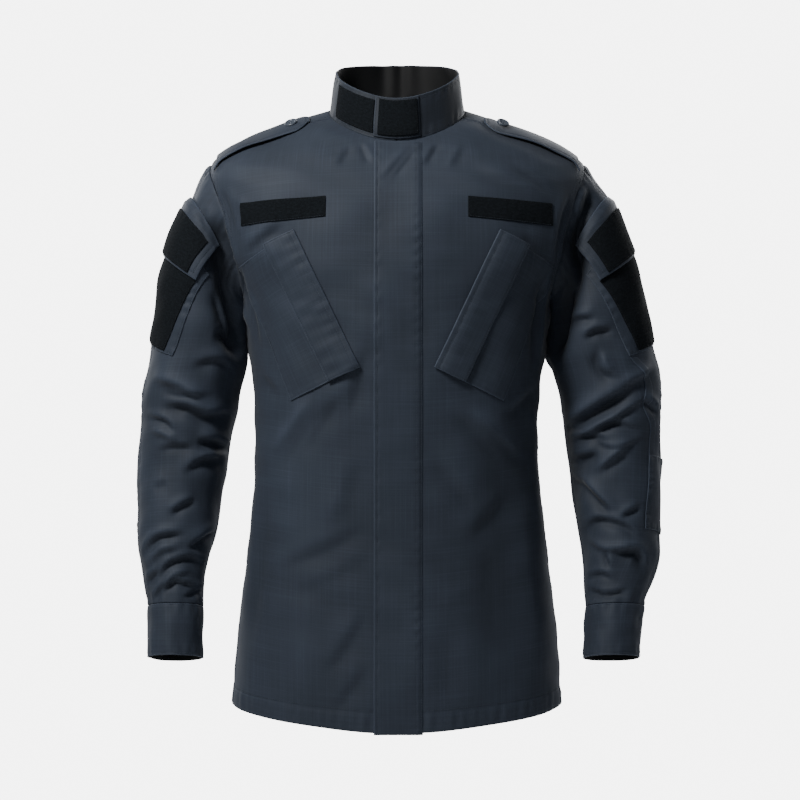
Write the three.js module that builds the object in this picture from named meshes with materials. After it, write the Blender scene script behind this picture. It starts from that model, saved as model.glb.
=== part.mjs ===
// A long-sleeved police uniform jacket, closed, filled out as when worn, with nobody in it.
// Millimetres, +Z up. The origin is the middle of the neck opening, level with the points where
// the collar meets the shoulders. -Y is the front; +X is the wearer's left.
// Every cloth piece is a thin wall: a grid of points on a smooth surface, and the same grid moved
// along the surface's normals, closed round its edge.
import * as THREE from "three";

// ---------------------------------------------------------------- driving dimensions

const CLOTH = 1.2; // wall of a single layer of ripstop with its seam allowances
const DOUBLE_CLOTH = 1.8; // two layers: collar, cuffs, flaps, straps
const LOOP_TAPE = 1.1; // hook-and-loop fabric
const SEAM_GAP = 0.34; // between two pieces that are sewn edge to edge
const LAYER_GAP = 0.8; // between a panel and what is sewn on it
const CURVE_GAP = 0.6; // added where the piece under it is curved both ways, as on the collar
const POCKET_GAP = LAYER_GAP + 0.4; // between the front and a chest pocket
const STRAP_GAP = LAYER_GAP + 0.3; // between the shoulder and the ends of its strap
const SLEEVE_GAP = LAYER_GAP + CURVE_GAP; // between a sleeve and what is sewn on it
const PANEL_GAP = 0.8; // between a sleeve pocket and its loop panel
const FLAP_GAP = 1.6; // between a sleeve pocket's loop panel and the flap over it
const FLAP_PANEL_GAP = 1.6; // between a sleeve flap and its loop panel, added to the flap's own gap
const BUTTON_GAP = 1.1; // between a strap and its button, which is flat and the strap is not
const COLLAR_LIFT = 0.6; // how far the collar's outer face stands off its plain surface
const CUFF_LIFT = 0.7; // the same for a cuff

const DEG = Math.PI / 180;

// The body of the jacket is a stack of rounded rings, from the hem up to the neck.
// side, front, back: heights of the ring at the side, the centre front and the centre back.
// width: half the width. depthFront, depthBack: how far it stands out. power: 2 is an ellipse,
// more is squarer.
const BODY_RINGS = [
  { side: -735, front: -757, back: -739, width: 204, depthFront: 138, depthBack: 134, power: 2.4 },
  { side: -679, front: -692, back: -681, width: 200.5, depthFront: 136, depthBack: 130, power: 2.4 },
  { side: -622, front: -628, back: -623, width: 195.5, depthFront: 132, depthBack: 125, power: 2.4 },
  { side: -566, front: -569, back: -566, width: 189.5, depthFront: 129, depthBack: 121, power: 2.4 },
  { side: -510, front: -511, back: -510, width: 184, depthFront: 127, depthBack: 117, power: 2.4 },
  { side: -454, front: -454, back: -454, width: 179, depthFront: 127, depthBack: 114, power: 2.4 },
  { side: -397, front: -399, back: -397, width: 177.5, depthFront: 129, depthBack: 115, power: 2.4 },
  { side: -345, front: -350, back: -345, width: 180, depthFront: 132, depthBack: 118, power: 2.4 },
  { side: -300, front: -308, back: -300, width: 184.3, depthFront: 134, depthBack: 121, power: 2.4 },
  { side: -235, front: -248, back: -234, width: 188, depthFront: 135, depthBack: 124, power: 2.45 },
  { side: -180, front: -205, back: -178, width: 213, depthFront: 133, depthBack: 124, power: 2.5 },
  { side: -130, front: -166, back: -125, width: 231, depthFront: 128, depthBack: 121, power: 2.45 },
  { side: -84, front: -130, back: -80, width: 238, depthFront: 120, depthBack: 115, power: 2.35 },
  { side: -64, front: -109, back: -51, width: 232, depthFront: 113, depthBack: 109, power: 2.25 },
  { side: -46, front: -88, back: -26, width: 205, depthFront: 103, depthBack: 99, power: 2.2 },
  { side: -28, front: -68, back: -5, width: 163, depthFront: 92, depthBack: 87, power: 2.15 },
  { side: -10, front: -52, back: 10, width: 118, depthFront: 81, depthBack: 73, power: 2.05 },
  { side: 0, front: -44, back: 17, width: 83.5, depthFront: 76, depthBack: 66, power: 2.0 },
];
const HEM = -735; // rings are named by their height at the side
const NECK = 0;

// The armhole, on the body's surface round the side line (90 degrees from the centre front).
const ARMHOLE = { middle: -150.5, halfHeight: 84.5, halfTurn: 18 };
const SIDE_SEAM_AT_HEM = 82; // degrees from the centre front
const SHOULDER_SEAM_AT_NECK = 73;

// The sleeves: rings from the armhole to the cuff, named by the height of their outermost point.
// The first ones turn about the armpit. outer, inner: distances from the middle of the jacket.
// middle: how far back the ring's centre is. depth: half its size front to back. lean: degrees
// that the ring tips up at the front, as the forearm bends forward.
const SLEEVE_RINGS = [
  { at: -66, outerLeft: 237, outerRight: 237, innerLeft: 188.8, innerRight: 188.8, innerAt: -235.8,
    middle: 2, depth: 62, lean: 0 },
  { at: -112, outerLeft: 264, outerRight: 260, innerLeft: 190.2, innerRight: 190.2, innerAt: -238,
    middle: 4, depth: 68, lean: 0 },
  { at: -160, outerLeft: 284, outerRight: 281, innerLeft: 190.2, innerRight: 190, innerAt: -242,
    middle: 5, depth: 72, lean: 0 },
  { at: -205, outerLeft: 299, outerRight: 292.5, innerLeft: 189.8, innerRight: 189.6, innerAt: -249,
    middle: 6, depth: 74, lean: 0 },
  { at: -250, outerLeft: 310, outerRight: 299.5, innerLeft: 188.9, innerRight: 188.9, innerAt: -266,
    middle: 6, depth: 75, lean: 0 },
  { at: -300, outerLeft: 321, outerRight: 309, innerLeft: 187.2, innerRight: 187.2, innerAt: -302,
    middle: 7, depth: 74, lean: 0 },
  { at: -325, outerLeft: 328, outerRight: 315, innerLeft: 194.5, innerRight: 190.5, innerAt: -325,
    middle: 8, depth: 73, lean: 0 },
  { at: -360, outerLeft: 332, outerRight: 320, innerLeft: 204, innerRight: 199, innerAt: -360,
    middle: 9, depth: 71, lean: 1 },
  { at: -435, outerLeft: 331, outerRight: 322, innerLeft: 215, innerRight: 211, innerAt: -435,
    middle: 6, depth: 65, lean: 5 },
  { at: -510, outerLeft: 329, outerRight: 324, innerLeft: 225, innerRight: 225, innerAt: -510,
    middle: -8, depth: 58, lean: 10 },
  { at: -548, outerLeft: 328, outerRight: 323, innerLeft: 230.5, innerRight: 231, innerAt: -548,
    middle: -17, depth: 53, lean: 12 },
  { at: -585, outerLeft: 317, outerRight: 314, innerLeft: 233, innerRight: 237, innerAt: -585,
    middle: -26, depth: 45, lean: 12 },
  { at: -615, outerLeft: 305.5, outerRight: 307.5, innerLeft: 233.5, innerRight: 239.5, innerAt: -615,
    middle: -34, depth: 40.5, lean: 12 },
  { at: -677, outerLeft: 298.5, outerRight: 304.5, innerLeft: 229.5, innerRight: 239.5, innerAt: -677,
    middle: -48, depth: 41, lean: 12 },
];
const ARMHOLE_AT = -66;
const CUFF_TOP = -615;
const CUFF_END = -677;
const SLEEVE_POWER = 2.15;
const OUTER_SEAM = 20; // degrees round the sleeve from its outermost line towards the front
const INNER_SEAM = 180;

// The collar: rings at its seam and at its top edge, heights as for the body.
const COLLAR_SEAM = { side: 0, front: -44, back: 17, width: 83.5, depthFront: 76, depthBack: 66 };
const COLLAR_TOP = { side: 50, front: 9, back: 68, width: 76.5, depthFront: 70, depthBack: 66 };
const COLLAR_POWER = 2.05;

// The storm flap over the closure: distances from the centre front, + towards the wearer's left.
const PLACKET = { freeEdge: -27.5, sewnEdge: 31, belowHem: 1.5 };

// Flat pieces on the chest, as corners (distance from the middle, height), the same on both sides.
const NAME_TAPE = [[85.5, -140], [188, -149.5], [188, -122], [85.5, -115]];
const CHEST_FLAP = [[81, -338.5], [44, -320.5], [123.5, -155], [159, -173.5]];
const CHEST_POCKET = [[127, -361], [47.5, -321.5], [125, -159], [193, -198]];

// Pieces on the sleeves, as corners (degrees round the sleeve, height of the ring's outer point).
const SLEEVE_POCKET = [[66, -306], [-58, -268], [-26, -126], [98, -160]];
const SLEEVE_POCKET_PANEL = [[54, -299], [-48, -269], [-18, -168], [84, -190]];
const SLEEVE_FLAP = [[84, -189], [-34, -174], [-30, -112], [94, -99]];
const SLEEVE_FLAP_PANEL = [[73, -184], [-26, -172], [-23, -126], [81, -116]];
const ELBOW_PATCH = {
  left: [[61, -527], [-41, -527], [-41, -436], [52, -432]],
  right: [[-4, -527], [-106, -527], [-106, -434], [-4, -434]],
};

const EPAULETTE = { outer: 224, tip: 108, middleLine: -20, halfWidth: 25, rise: 3 };
const SLEEVE_RADIUS = 60; // about, for turning a gap into degrees
const BUTTON = { radius: 8, thick: 3, fromTip: 22 };

const NAVY = 0x353c46;
const LOOP_BLACK = 0x14181d;
const BUTTON_NAVY = 0x1c2229;

// ---------------------------------------------------------------- smooth surfaces

// A curve through (knots, values) that never overshoots them.
function smoothCurve(knots, values) {
  const steps = knots.slice(1).map((knot, i) => knot - knots[i]);
  const slopes = steps.map((step, i) => (values[i + 1] - values[i]) / step);
  const tangents = knots.map((_, i) => {
    if (i === 0) return slopes[0];
    if (i === knots.length - 1) return slopes[i - 1];
    const [before, after] = [slopes[i - 1], slopes[i]];
    return before * after <= 0 ? 0 : (2 * before * after) / (before + after);
  });
  return (at) => {
    let i = 0;
    while (i < steps.length - 1 && at > knots[i + 1]) i += 1;
    const u = (at - knots[i]) / steps[i];
    return (
      values[i] * (1 + 2 * u) * (1 - u) ** 2 +
      values[i + 1] * u * u * (3 - 2 * u) +
      tangents[i] * steps[i] * u * (1 - u) ** 2 -
      tangents[i + 1] * steps[i] * u * u * (1 - u)
    );
  };
}

// One smooth curve for each field of a list of rings, keyed by one of the fields.
function ringCurves(rings, key, fields) {
  const rising = [...rings].sort((a, b) => a[key] - b[key]);
  const knots = rising.map((ring) => ring[key]);
  const curves = {};
  for (const field of fields) curves[field] = smoothCurve(knots, rising.map((ring) => ring[field]));
  return curves;
}

// Radius of a rounded rectangle with the given half sizes, in the direction (sin, cos).
function roundedRadius(sin, cos, halfWidth, halfDepth, power) {
  return (Math.abs(sin / halfWidth) ** power + Math.abs(cos / halfDepth) ** power) ** (-1 / power);
}

// Height of a tilted ring at a turn from the centre front, from its heights at front, side, back.
function ringHeight(turn, side, front, back) {
  const mean = (front + back) / 4;
  return mean + side / 2 + ((front - back) / 2) * Math.cos(turn) +
    (mean - side / 2) * Math.cos(2 * turn);
}

function ringPoint(turn, ring, power) {
  const [sin, cos] = [Math.sin(turn), Math.cos(turn)];
  const depth = cos > 0 ? ring.depthFront : ring.depthBack;
  const radius = roundedRadius(sin, cos, ring.width, depth, power);
  return new THREE.Vector3(
    radius * sin, -radius * cos, ringHeight(turn, ring.side, ring.front, ring.back));
}

const body = ringCurves(BODY_RINGS, "side",
  ["front", "back", "width", "depthFront", "depthBack", "power"]);

// The body's surface: degrees from the centre front, and the ring's height at the side.
function bodyPoint(degrees, side) {
  const ring = {
    side,
    front: body.front(side),
    back: body.back(side),
    width: body.width(side),
    depthFront: body.depthFront(side),
    depthBack: body.depthBack(side),
  };
  return ringPoint(degrees * DEG, ring, body.power(side));
}

// The collar's surface: degrees from the centre front, and 0 at its seam to 1 at its top edge.
function collarPoint(degrees, up) {
  const ring = {};
  for (const field of Object.keys(COLLAR_SEAM)) {
    ring[field] = THREE.MathUtils.lerp(COLLAR_SEAM[field], COLLAR_TOP[field], up);
  }
  return ringPoint(degrees * DEG, ring, COLLAR_POWER);
}

// The armhole's edge, as a place on the body: degrees round it, 0 at the top, 90 at the front.
function armholePlace(round) {
  return [
    90 - ARMHOLE.halfTurn * Math.sin(round * DEG),
    ARMHOLE.middle + ARMHOLE.halfHeight * Math.cos(round * DEG),
  ];
}

// The sleeve's surface on the wearer's left: degrees round it, and the ring's outermost height.
function sleeveSurface(side) {
  const fields = { outer: "outer" + side, inner: "inner" + side };
  const curves = ringCurves(SLEEVE_RINGS, "at",
    [fields.outer, fields.inner, "innerAt", "middle", "depth", "lean"]);
  const blendEnd = SLEEVE_RINGS[1].at;
  return (round, at) => {
    const outer = new THREE.Vector3(curves[fields.outer](at), 0, at);
    const inner = new THREE.Vector3(curves[fields.inner](at), 0, curves.innerAt(at));
    const across = outer.clone().sub(inner);
    const halfWidth = across.length() / 2;
    const [cos, sin] = [Math.cos(round * DEG), Math.sin(round * DEG)];
    const radius = roundedRadius(sin, cos, 1, 1, SLEEVE_POWER);
    const lean = curves.lean(at) * DEG;
    const forward = new THREE.Vector3(0, -Math.cos(lean), Math.sin(lean));
    const point = outer.add(inner).multiplyScalar(0.5);
    point.y = curves.middle(at);
    point.addScaledVector(across.normalize(), halfWidth * radius * cos);
    point.addScaledVector(forward, curves.depth(at) * radius * sin);
    const fromArmhole = THREE.MathUtils.smoothstep(ARMHOLE_AT - at, 0, ARMHOLE_AT - blendEnd);
    const edge = bodyPoint(...armholePlace(round));
    return edge.lerp(point, fromArmhole);
  };
}

// The outward normal of a surface at a place, from small steps along it.
function normalAt(surface, place, outward) {
  const step = 0.05;
  const [u, v] = place;
  const along = surface(u + step, v).sub(surface(u - step, v));
  const up = surface(u, v + step).sub(surface(u, v - step));
  return along.cross(up).normalize().multiplyScalar(outward);
}

// ---------------------------------------------------------------- walls of cloth

// A closed thin wall. corners(s, t), 0 to 1 each way, gives [outer point, inner point]. A wrapped
// wall joins its last column to its first.
function wall(columns, rows, layerPoints, wrapped = false) {
  const positions = [];
  const width = wrapped ? columns : columns + 1;
  for (const layer of [0, 1]) {
    for (let j = 0; j <= rows; j += 1) {
      for (let i = 0; i < width; i += 1) {
        positions.push(...layerPoints(i / columns, j / rows)[layer].toArray());
      }
    }
  }
  const index = [];
  const vertex = (layer, i, j) => (layer * (rows + 1) + j) * width + (i % width);
  const quad = (a, b, c, d) => index.push(a, b, c, a, c, d);
  for (let j = 0; j < rows; j += 1) {
    for (let i = 0; i < columns; i += 1) {
      quad(vertex(0, i, j), vertex(0, i + 1, j), vertex(0, i + 1, j + 1), vertex(0, i, j + 1));
      quad(vertex(1, i, j), vertex(1, i, j + 1), vertex(1, i + 1, j + 1), vertex(1, i + 1, j));
    }
  }
  for (let i = 0; i < columns; i += 1) {
    quad(vertex(1, i, 0), vertex(1, i + 1, 0), vertex(0, i + 1, 0), vertex(0, i, 0));
    quad(vertex(0, i, rows), vertex(0, i + 1, rows), vertex(1, i + 1, rows), vertex(1, i, rows));
  }
  for (let j = 0; j < rows && !wrapped; j += 1) {
    quad(vertex(1, 0, j + 1), vertex(1, 0, j), vertex(0, 0, j), vertex(0, 0, j + 1));
    quad(vertex(0, columns, j + 1), vertex(0, columns, j),
      vertex(1, columns, j), vertex(1, columns, j + 1));
  }
  return outwardFacing(positions, index);
}

// A geometry whose faces point out: the winding is turned over if its volume comes out negative.
function outwardFacing(positions, index) {
  const corner = (k) => new THREE.Vector3().fromArray(positions, 3 * index[k]);
  let volume = 0;
  for (let k = 0; k < index.length; k += 3) {
    volume += corner(k).dot(corner(k + 1).cross(corner(k + 2)));
  }
  if (volume < 0) index.reverse();
  const geometry = new THREE.BufferGeometry();
  geometry.setAttribute("position", new THREE.Float32BufferAttribute(positions, 3));
  geometry.setIndex(index);
  geometry.computeVertexNormals();
  return geometry;
}

// A wall on a surface: place(s, t) gives the place, lift how far its outer face stands off it.
function wallOn(surface, outward, columns, rows, place, lift, thick, wrapped = false) {
  return wall(columns, rows, (s, t) => {
    const at = place(s, t);
    const point = surface(...at);
    const normal = normalAt(surface, at, outward);
    return [
      point.clone().addScaledVector(normal, lift),
      point.clone().addScaledVector(normal, lift - thick),
    ];
  }, wrapped);
}

const mix = THREE.MathUtils.lerp;

// A place inside four corners: bottom left, bottom right, top right, top left.
function insideCorners(corners, s, t) {
  const [a, b, c, d] = corners;
  return [0, 1].map((k) => mix(mix(a[k], b[k], s), mix(d[k], c[k], s), t));
}

// The place on the body's surface that has two wanted coordinates, found by Newton's method.
function bodyPlace(axes, wanted, guess) {
  let [u, v] = guess;
  const miss = (a, b) => {
    const point = bodyPoint(a, b).toArray();
    return axes.map((axis, k) => point[axis] - wanted[k]);
  };
  for (let round = 0; round < 30; round += 1) {
    const here = miss(u, v);
    const [du, dv] = [miss(u + 0.01, v), miss(u, v + 0.01)];
    const [a, b, c, d] = [du[0] - here[0], dv[0] - here[0], du[1] - here[1], dv[1] - here[1]];
    const det = a * d - b * c;
    u -= THREE.MathUtils.clamp((0.01 * (here[0] * d - here[1] * b)) / det, -8, 8);
    v -= THREE.MathUtils.clamp((0.01 * (here[1] * a - here[0] * c)) / det, -20, 20);
    v = THREE.MathUtils.clamp(v, HEM - 10, NECK);
  }
  return [u, v];
}

const X = 0;
const Y = 1;
const Z = 2;

function frontPlace(x, z) {
  return bodyPlace([X, Z], [x, z], [x / 3, Math.min(z, -60)]);
}

// ---------------------------------------------------------------- the pieces

const jacket = new THREE.Group();

function add(name, geometry, color, roughness = 0.85) {
  const material = new THREE.MeshStandardMaterial({ color, roughness, metalness: 0 });
  const mesh = new THREE.Mesh(geometry, material);
  mesh.name = name;
  jacket.add(mesh);
}

// Rows of a body panel: its height at the panel's edge, where the points follow the armhole's
// curve, and its height in the panel's middle, where the rows are evenly spaced.
function bodyRows() {
  const rows = [];
  const armpit = ARMHOLE.middle - ARMHOLE.halfHeight;
  const top = ARMHOLE.middle + ARMHOLE.halfHeight;
  const [below, round, above] = [9, 9, 5];
  const even = (from, to, part) => ({ edge: mix(from, to, part), middle: mix(from, to, part) });
  for (let k = 0; k < below; k += 1) rows.push(even(HEM, armpit, k / below));
  for (let k = 0; k < round; k += 1) {
    const edge = ARMHOLE.middle - ARMHOLE.halfHeight * Math.cos((Math.PI * k) / round);
    rows.push({ edge, middle: mix(armpit, top, k / round) });
  }
  for (let k = 0; k <= above; k += 1) rows.push(even(top, NECK, k / above));
  return rows;
}

const BODY_ROWS = bodyRows();

// Degrees from the centre front where a body panel ends, on the front or the back of the seams.
function panelEdge(side, towardsBack) {
  const armpit = ARMHOLE.middle - ARMHOLE.halfHeight;
  const top = ARMHOLE.middle + ARMHOLE.halfHeight;
  const sign = towardsBack ? 1 : -1;
  const gap = (sign * SEAM_GAP) / 2 / body.width(side) / DEG;
  if (side <= armpit) return mix(SIDE_SEAM_AT_HEM, 90, (side - HEM) / (armpit - HEM)) + gap;
  if (side >= top) return mix(90, SHOULDER_SEAM_AT_NECK, (side - top) / (NECK - top)) + gap;
  const rise = (side - ARMHOLE.middle) / ARMHOLE.halfHeight;
  return 90 + sign * (ARMHOLE.halfTurn + 0.12) * Math.sqrt(1 - rise * rise) + gap;
}

// The row at t, 0 to 1, and its height where the panel's edge is this near, 0 to 1.
function panelRow(t) {
  const row = BODY_ROWS[Math.round(t * (BODY_ROWS.length - 1))];
  return { edge: row.edge, heightAt: (nearEdge) => mix(row.middle, row.edge, nearEdge ** 2) };
}

function frontPanel(sign) {
  const place = (s, t) => {
    const row = panelRow(t);
    const side = row.heightAt(s);
    const centre = SEAM_GAP / body.depthFront(side) / DEG;
    return [sign * mix(centre, panelEdge(row.edge, false), s), side];
  };
  return wallOn(bodyPoint, 1, 9, BODY_ROWS.length - 1, place, 0, CLOTH);
}

function backPanel() {
  const place = (s, t) => {
    const row = panelRow(t);
    const edge = panelEdge(row.edge, true);
    return [mix(edge, 360 - edge, s), row.heightAt(Math.abs(2 * s - 1))];
  };
  return wallOn(bodyPoint, 1, 18, BODY_ROWS.length - 1, place, 0, CLOTH);
}

// A patch on the front of the body, from corners given for the wearer's left.
function chestPatch(sign, corners, columns, rows, lift, thick) {
  const place = (s, t) => {
    const [x, z] = insideCorners(corners, s, t);
    const [degrees, side] = frontPlace(x, z);
    return [sign * degrees, side];
  };
  return wallOn(bodyPoint, 1, columns, rows, place, lift + thick, thick);
}

function placket() {
  const rows = 22;
  const place = (s, t) => {
    const x = mix(PLACKET.freeEdge, PLACKET.sewnEdge, s);
    const low = bodyPoint(0, HEM).z - PLACKET.belowHem;
    const z = mix(low, COLLAR_SEAM.front - 1.6, t);
    return bodyPlace([X, Z], [x, z], [x / 3, Math.min(z, -40)]);
  };
  return wallOn(bodyPoint, 1, 4, rows, place, LAYER_GAP + CURVE_GAP + DOUBLE_CLOTH, DOUBLE_CLOTH);
}

function collar() {
  const place = (s, t) => [mix(0.25, 359.75, s), mix(0.012, 1, t)];
  return wallOn(collarPoint, 1, 30, 2, place, COLLAR_LIFT, DOUBLE_CLOTH);
}

function collarPatch(from, to, low, high, lift, thick, columns = 5) {
  const place = (s, t) => [mix(from, to, s), mix(low, high, t)];
  return wallOn(collarPoint, 1, columns, 2, place, lift + thick, thick);
}

// A strap along the shoulder, sewn in at the armhole and rounded at the end by the neck.
function epaulettePlace(s, t) {
  const roundLength = EPAULETTE.halfWidth;
  const x = mix(EPAULETTE.outer, EPAULETTE.tip, t);
  const intoRound = Math.max(0, 1 - (x - EPAULETTE.tip) / roundLength);
  const halfWidth = EPAULETTE.halfWidth * Math.sqrt(Math.max(0.12, 1 - intoRound ** 2.6));
  const y = EPAULETTE.middleLine + halfWidth * (2 * s - 1);
  return bodyPlace([X, Y], [x, y], [90, -50]);
}

function epauletteLift(t) {
  return STRAP_GAP + EPAULETTE.rise * Math.sin(Math.PI * Math.min(1, t * 1.25)) ** 0.8;
}

function epaulette() {
  return wall(5, 9, (s, t) => {
    const at = epaulettePlace(s, t);
    const point = bodyPoint(...at);
    const normal = normalAt(bodyPoint, at, 1);
    const lift = epauletteLift(t);
    return [
      point.clone().addScaledVector(normal, lift + DOUBLE_CLOTH),
      point.clone().addScaledVector(normal, lift),
    ];
  });
}

// A round button with a raised rim, flat underneath, lying on the strap.
function button() {
  const { radius, thick } = BUTTON;
  const profile = [
    [0, 0], [radius - 0.6, 0], [radius, 0.8], [radius, thick - 0.9], [radius - 0.9, thick],
    [radius - 2, thick], [radius - 2.7, thick - 0.9], [0, thick - 0.9],
  ].map(([r, h]) => new THREE.Vector2(r, h));
  const geometry = new THREE.LatheGeometry(profile, 16);
  geometry.rotateX(Math.PI / 2);
  const t = (EPAULETTE.outer - EPAULETTE.tip - BUTTON.fromTip) / (EPAULETTE.outer - EPAULETTE.tip);
  const at = epaulettePlace(0.5, t);
  const normal = normalAt(bodyPoint, at, 1);
  const height = epauletteLift(t) + DOUBLE_CLOTH + BUTTON_GAP;
  const centre = bodyPoint(...at).addScaledVector(normal, height);
  const turn = new THREE.Quaternion().setFromUnitVectors(new THREE.Vector3(0, 0, 1), normal);
  geometry.applyQuaternion(turn);
  geometry.translate(...centre.toArray());
  return geometry;
}

// A geometry for the wearer's left, mirrored for the right.
function sided(sign, geometry) {
  if (sign > 0) return geometry;
  const positions = [...geometry.getAttribute("position").array];
  for (let k = 0; k < positions.length; k += 3) positions[k] *= -1;
  return outwardFacing(positions, [...geometry.index.array]);
}

// A length of one sleeve between two turns, with its first ring cut square to the body's edge.
function sleevePiece(surface, from, to, top, bottom, columns, rows) {
  return wall(columns, rows, (s, t) => {
    const round = mix(from, to, s);
    const at = mix(top, bottom, t < 1 ? t * (0.8 + 0.2 * t) : 1);
    const point = surface(round, at);
    const own = normalAt(surface, [round, at - 0.05], -1);
    const square = t === 0 ? Math.max(0, Math.cos(round * DEG)) : 0;
    const edgeNormal = normalAt(bodyPoint, armholePlace(round), 1);
    own.lerp(edgeNormal, square).normalize();
    return [point, point.clone().addScaledVector(own, -CLOTH)];
  });
}

function sleevePatch(surface, corners, columns, rows, lift, thick) {
  const place = (s, t) => insideCorners(corners, s, t);
  return wallOn(surface, -1, columns, rows, place, lift + thick, thick);
}

function cuff(surface) {
  const place = (s, t) => [mix(0, 360, s), mix(CUFF_TOP - 0.5, CUFF_END, t)];
  return wallOn(surface, -1, 20, 2, place, CUFF_LIFT, DOUBLE_CLOTH, true);
}

add("back", backPanel(), NAVY);
add("placket", placket(), NAVY);
add("collar", collar(), NAVY);
const onCollar = LAYER_GAP + CURVE_GAP;
add("collar_tab", collarPatch(-21.5, 21.5, 0.03, 0.985, onCollar, DOUBLE_CLOTH, 6), NAVY);
const onTab = onCollar + DOUBLE_CLOTH + LAYER_GAP;
add("collar_tab_patch", collarPatch(-17.5, 19.5, 0.09, 0.92, onTab, LOOP_TAPE), LOOP_BLACK, 0.95);
add("collar_loop_patch", collarPatch(-65, -22.2, 0.1, 0.88, onCollar, LOOP_TAPE), LOOP_BLACK, 0.95);

for (const [name, sign] of [["left", 1], ["right", -1]]) {
  const surface = sleeveSurface(name === "left" ? "Left" : "Right");
  const onPocket = POCKET_GAP + CLOTH + LAYER_GAP;
  const onSleevePocket = SLEEVE_GAP + CLOTH + PANEL_GAP;
  const overPanel = SLEEVE_GAP + CLOTH + LOOP_TAPE + FLAP_GAP;
  const onSleeveFlap = overPanel + DOUBLE_CLOTH + FLAP_PANEL_GAP;
  const onSleeve = (corners, columns, rows, lift, thick) =>
    sided(sign, sleevePatch(surface, corners, columns, rows, lift, thick));
  const halfSeam = SEAM_GAP / 2 / SLEEVE_RADIUS / DEG;
  add("front_" + name, frontPanel(sign), NAVY);
  add("name_tape_" + name, chestPatch(sign, NAME_TAPE, 5, 1, LAYER_GAP, LOOP_TAPE), LOOP_BLACK, 0.95);
  add("chest_pocket_" + name, chestPatch(sign, CHEST_POCKET, 7, 7, POCKET_GAP, CLOTH), NAVY);
  add("chest_flap_" + name, chestPatch(sign, CHEST_FLAP, 3, 8, onPocket, DOUBLE_CLOTH), NAVY);
  add("epaulette_" + name, sided(sign, epaulette()), NAVY);
  add("epaulette_button_" + name, sided(sign, button()), BUTTON_NAVY, 0.4);
  add("sleeve_front_" + name, sided(sign, sleevePiece(surface, OUTER_SEAM + halfSeam,
    INNER_SEAM - halfSeam, ARMHOLE_AT, CUFF_TOP, 8, 14)), NAVY);
  add("sleeve_back_" + name, sided(sign, sleevePiece(surface, INNER_SEAM + halfSeam,
    360 + OUTER_SEAM - halfSeam, ARMHOLE_AT, CUFF_TOP, 10, 14)), NAVY);
  add("cuff_" + name, sided(sign, cuff(surface)), NAVY);
  add("sleeve_pocket_" + name, onSleeve(SLEEVE_POCKET, 8, 6, SLEEVE_GAP, CLOTH), NAVY);
  add("sleeve_pocket_panel_" + name,
    onSleeve(SLEEVE_POCKET_PANEL, 8, 4, onSleevePocket, LOOP_TAPE), LOOP_BLACK, 0.95);
  add("sleeve_flap_" + name,
    onSleeve(SLEEVE_FLAP, 8, 3, overPanel, DOUBLE_CLOTH), NAVY);
  add("sleeve_flap_panel_" + name,
    onSleeve(SLEEVE_FLAP_PANEL, 7, 3, onSleeveFlap, LOOP_TAPE),
    LOOP_BLACK, 0.95);
  add("elbow_patch_" + name, onSleeve(ELBOW_PATCH[name], 7, 3, SLEEVE_GAP, CLOTH), NAVY);
}

export default jacket;
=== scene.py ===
"""A long-sleeved police uniform jacket, closed and filled out as worn, with nobody in it.

Metres, +Z up, -Y the front, +X the wearer's left; the origin is the middle of the neck opening.
Every cloth piece is a thin wall on the same smooth surfaces as the frame's solids, pushed in and
out by the listed creases, so that what is sewn on a panel follows the panel's folds.
"""
import math
from types import SimpleNamespace

import bpy
import numpy as np
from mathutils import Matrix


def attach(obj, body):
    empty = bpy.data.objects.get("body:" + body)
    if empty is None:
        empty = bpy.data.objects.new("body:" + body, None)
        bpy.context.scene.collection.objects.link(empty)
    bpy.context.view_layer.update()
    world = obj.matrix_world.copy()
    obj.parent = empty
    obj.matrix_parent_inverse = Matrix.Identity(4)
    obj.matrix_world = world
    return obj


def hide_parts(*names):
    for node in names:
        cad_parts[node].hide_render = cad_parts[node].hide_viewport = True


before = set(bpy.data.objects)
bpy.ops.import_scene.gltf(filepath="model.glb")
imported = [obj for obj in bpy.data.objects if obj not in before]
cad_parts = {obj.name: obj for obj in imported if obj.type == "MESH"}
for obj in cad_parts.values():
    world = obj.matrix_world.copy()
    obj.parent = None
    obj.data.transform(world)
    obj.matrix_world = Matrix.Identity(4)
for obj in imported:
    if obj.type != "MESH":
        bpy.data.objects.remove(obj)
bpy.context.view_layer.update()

# ------------------------------------------------------------------ the frame's own dimensions

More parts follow.
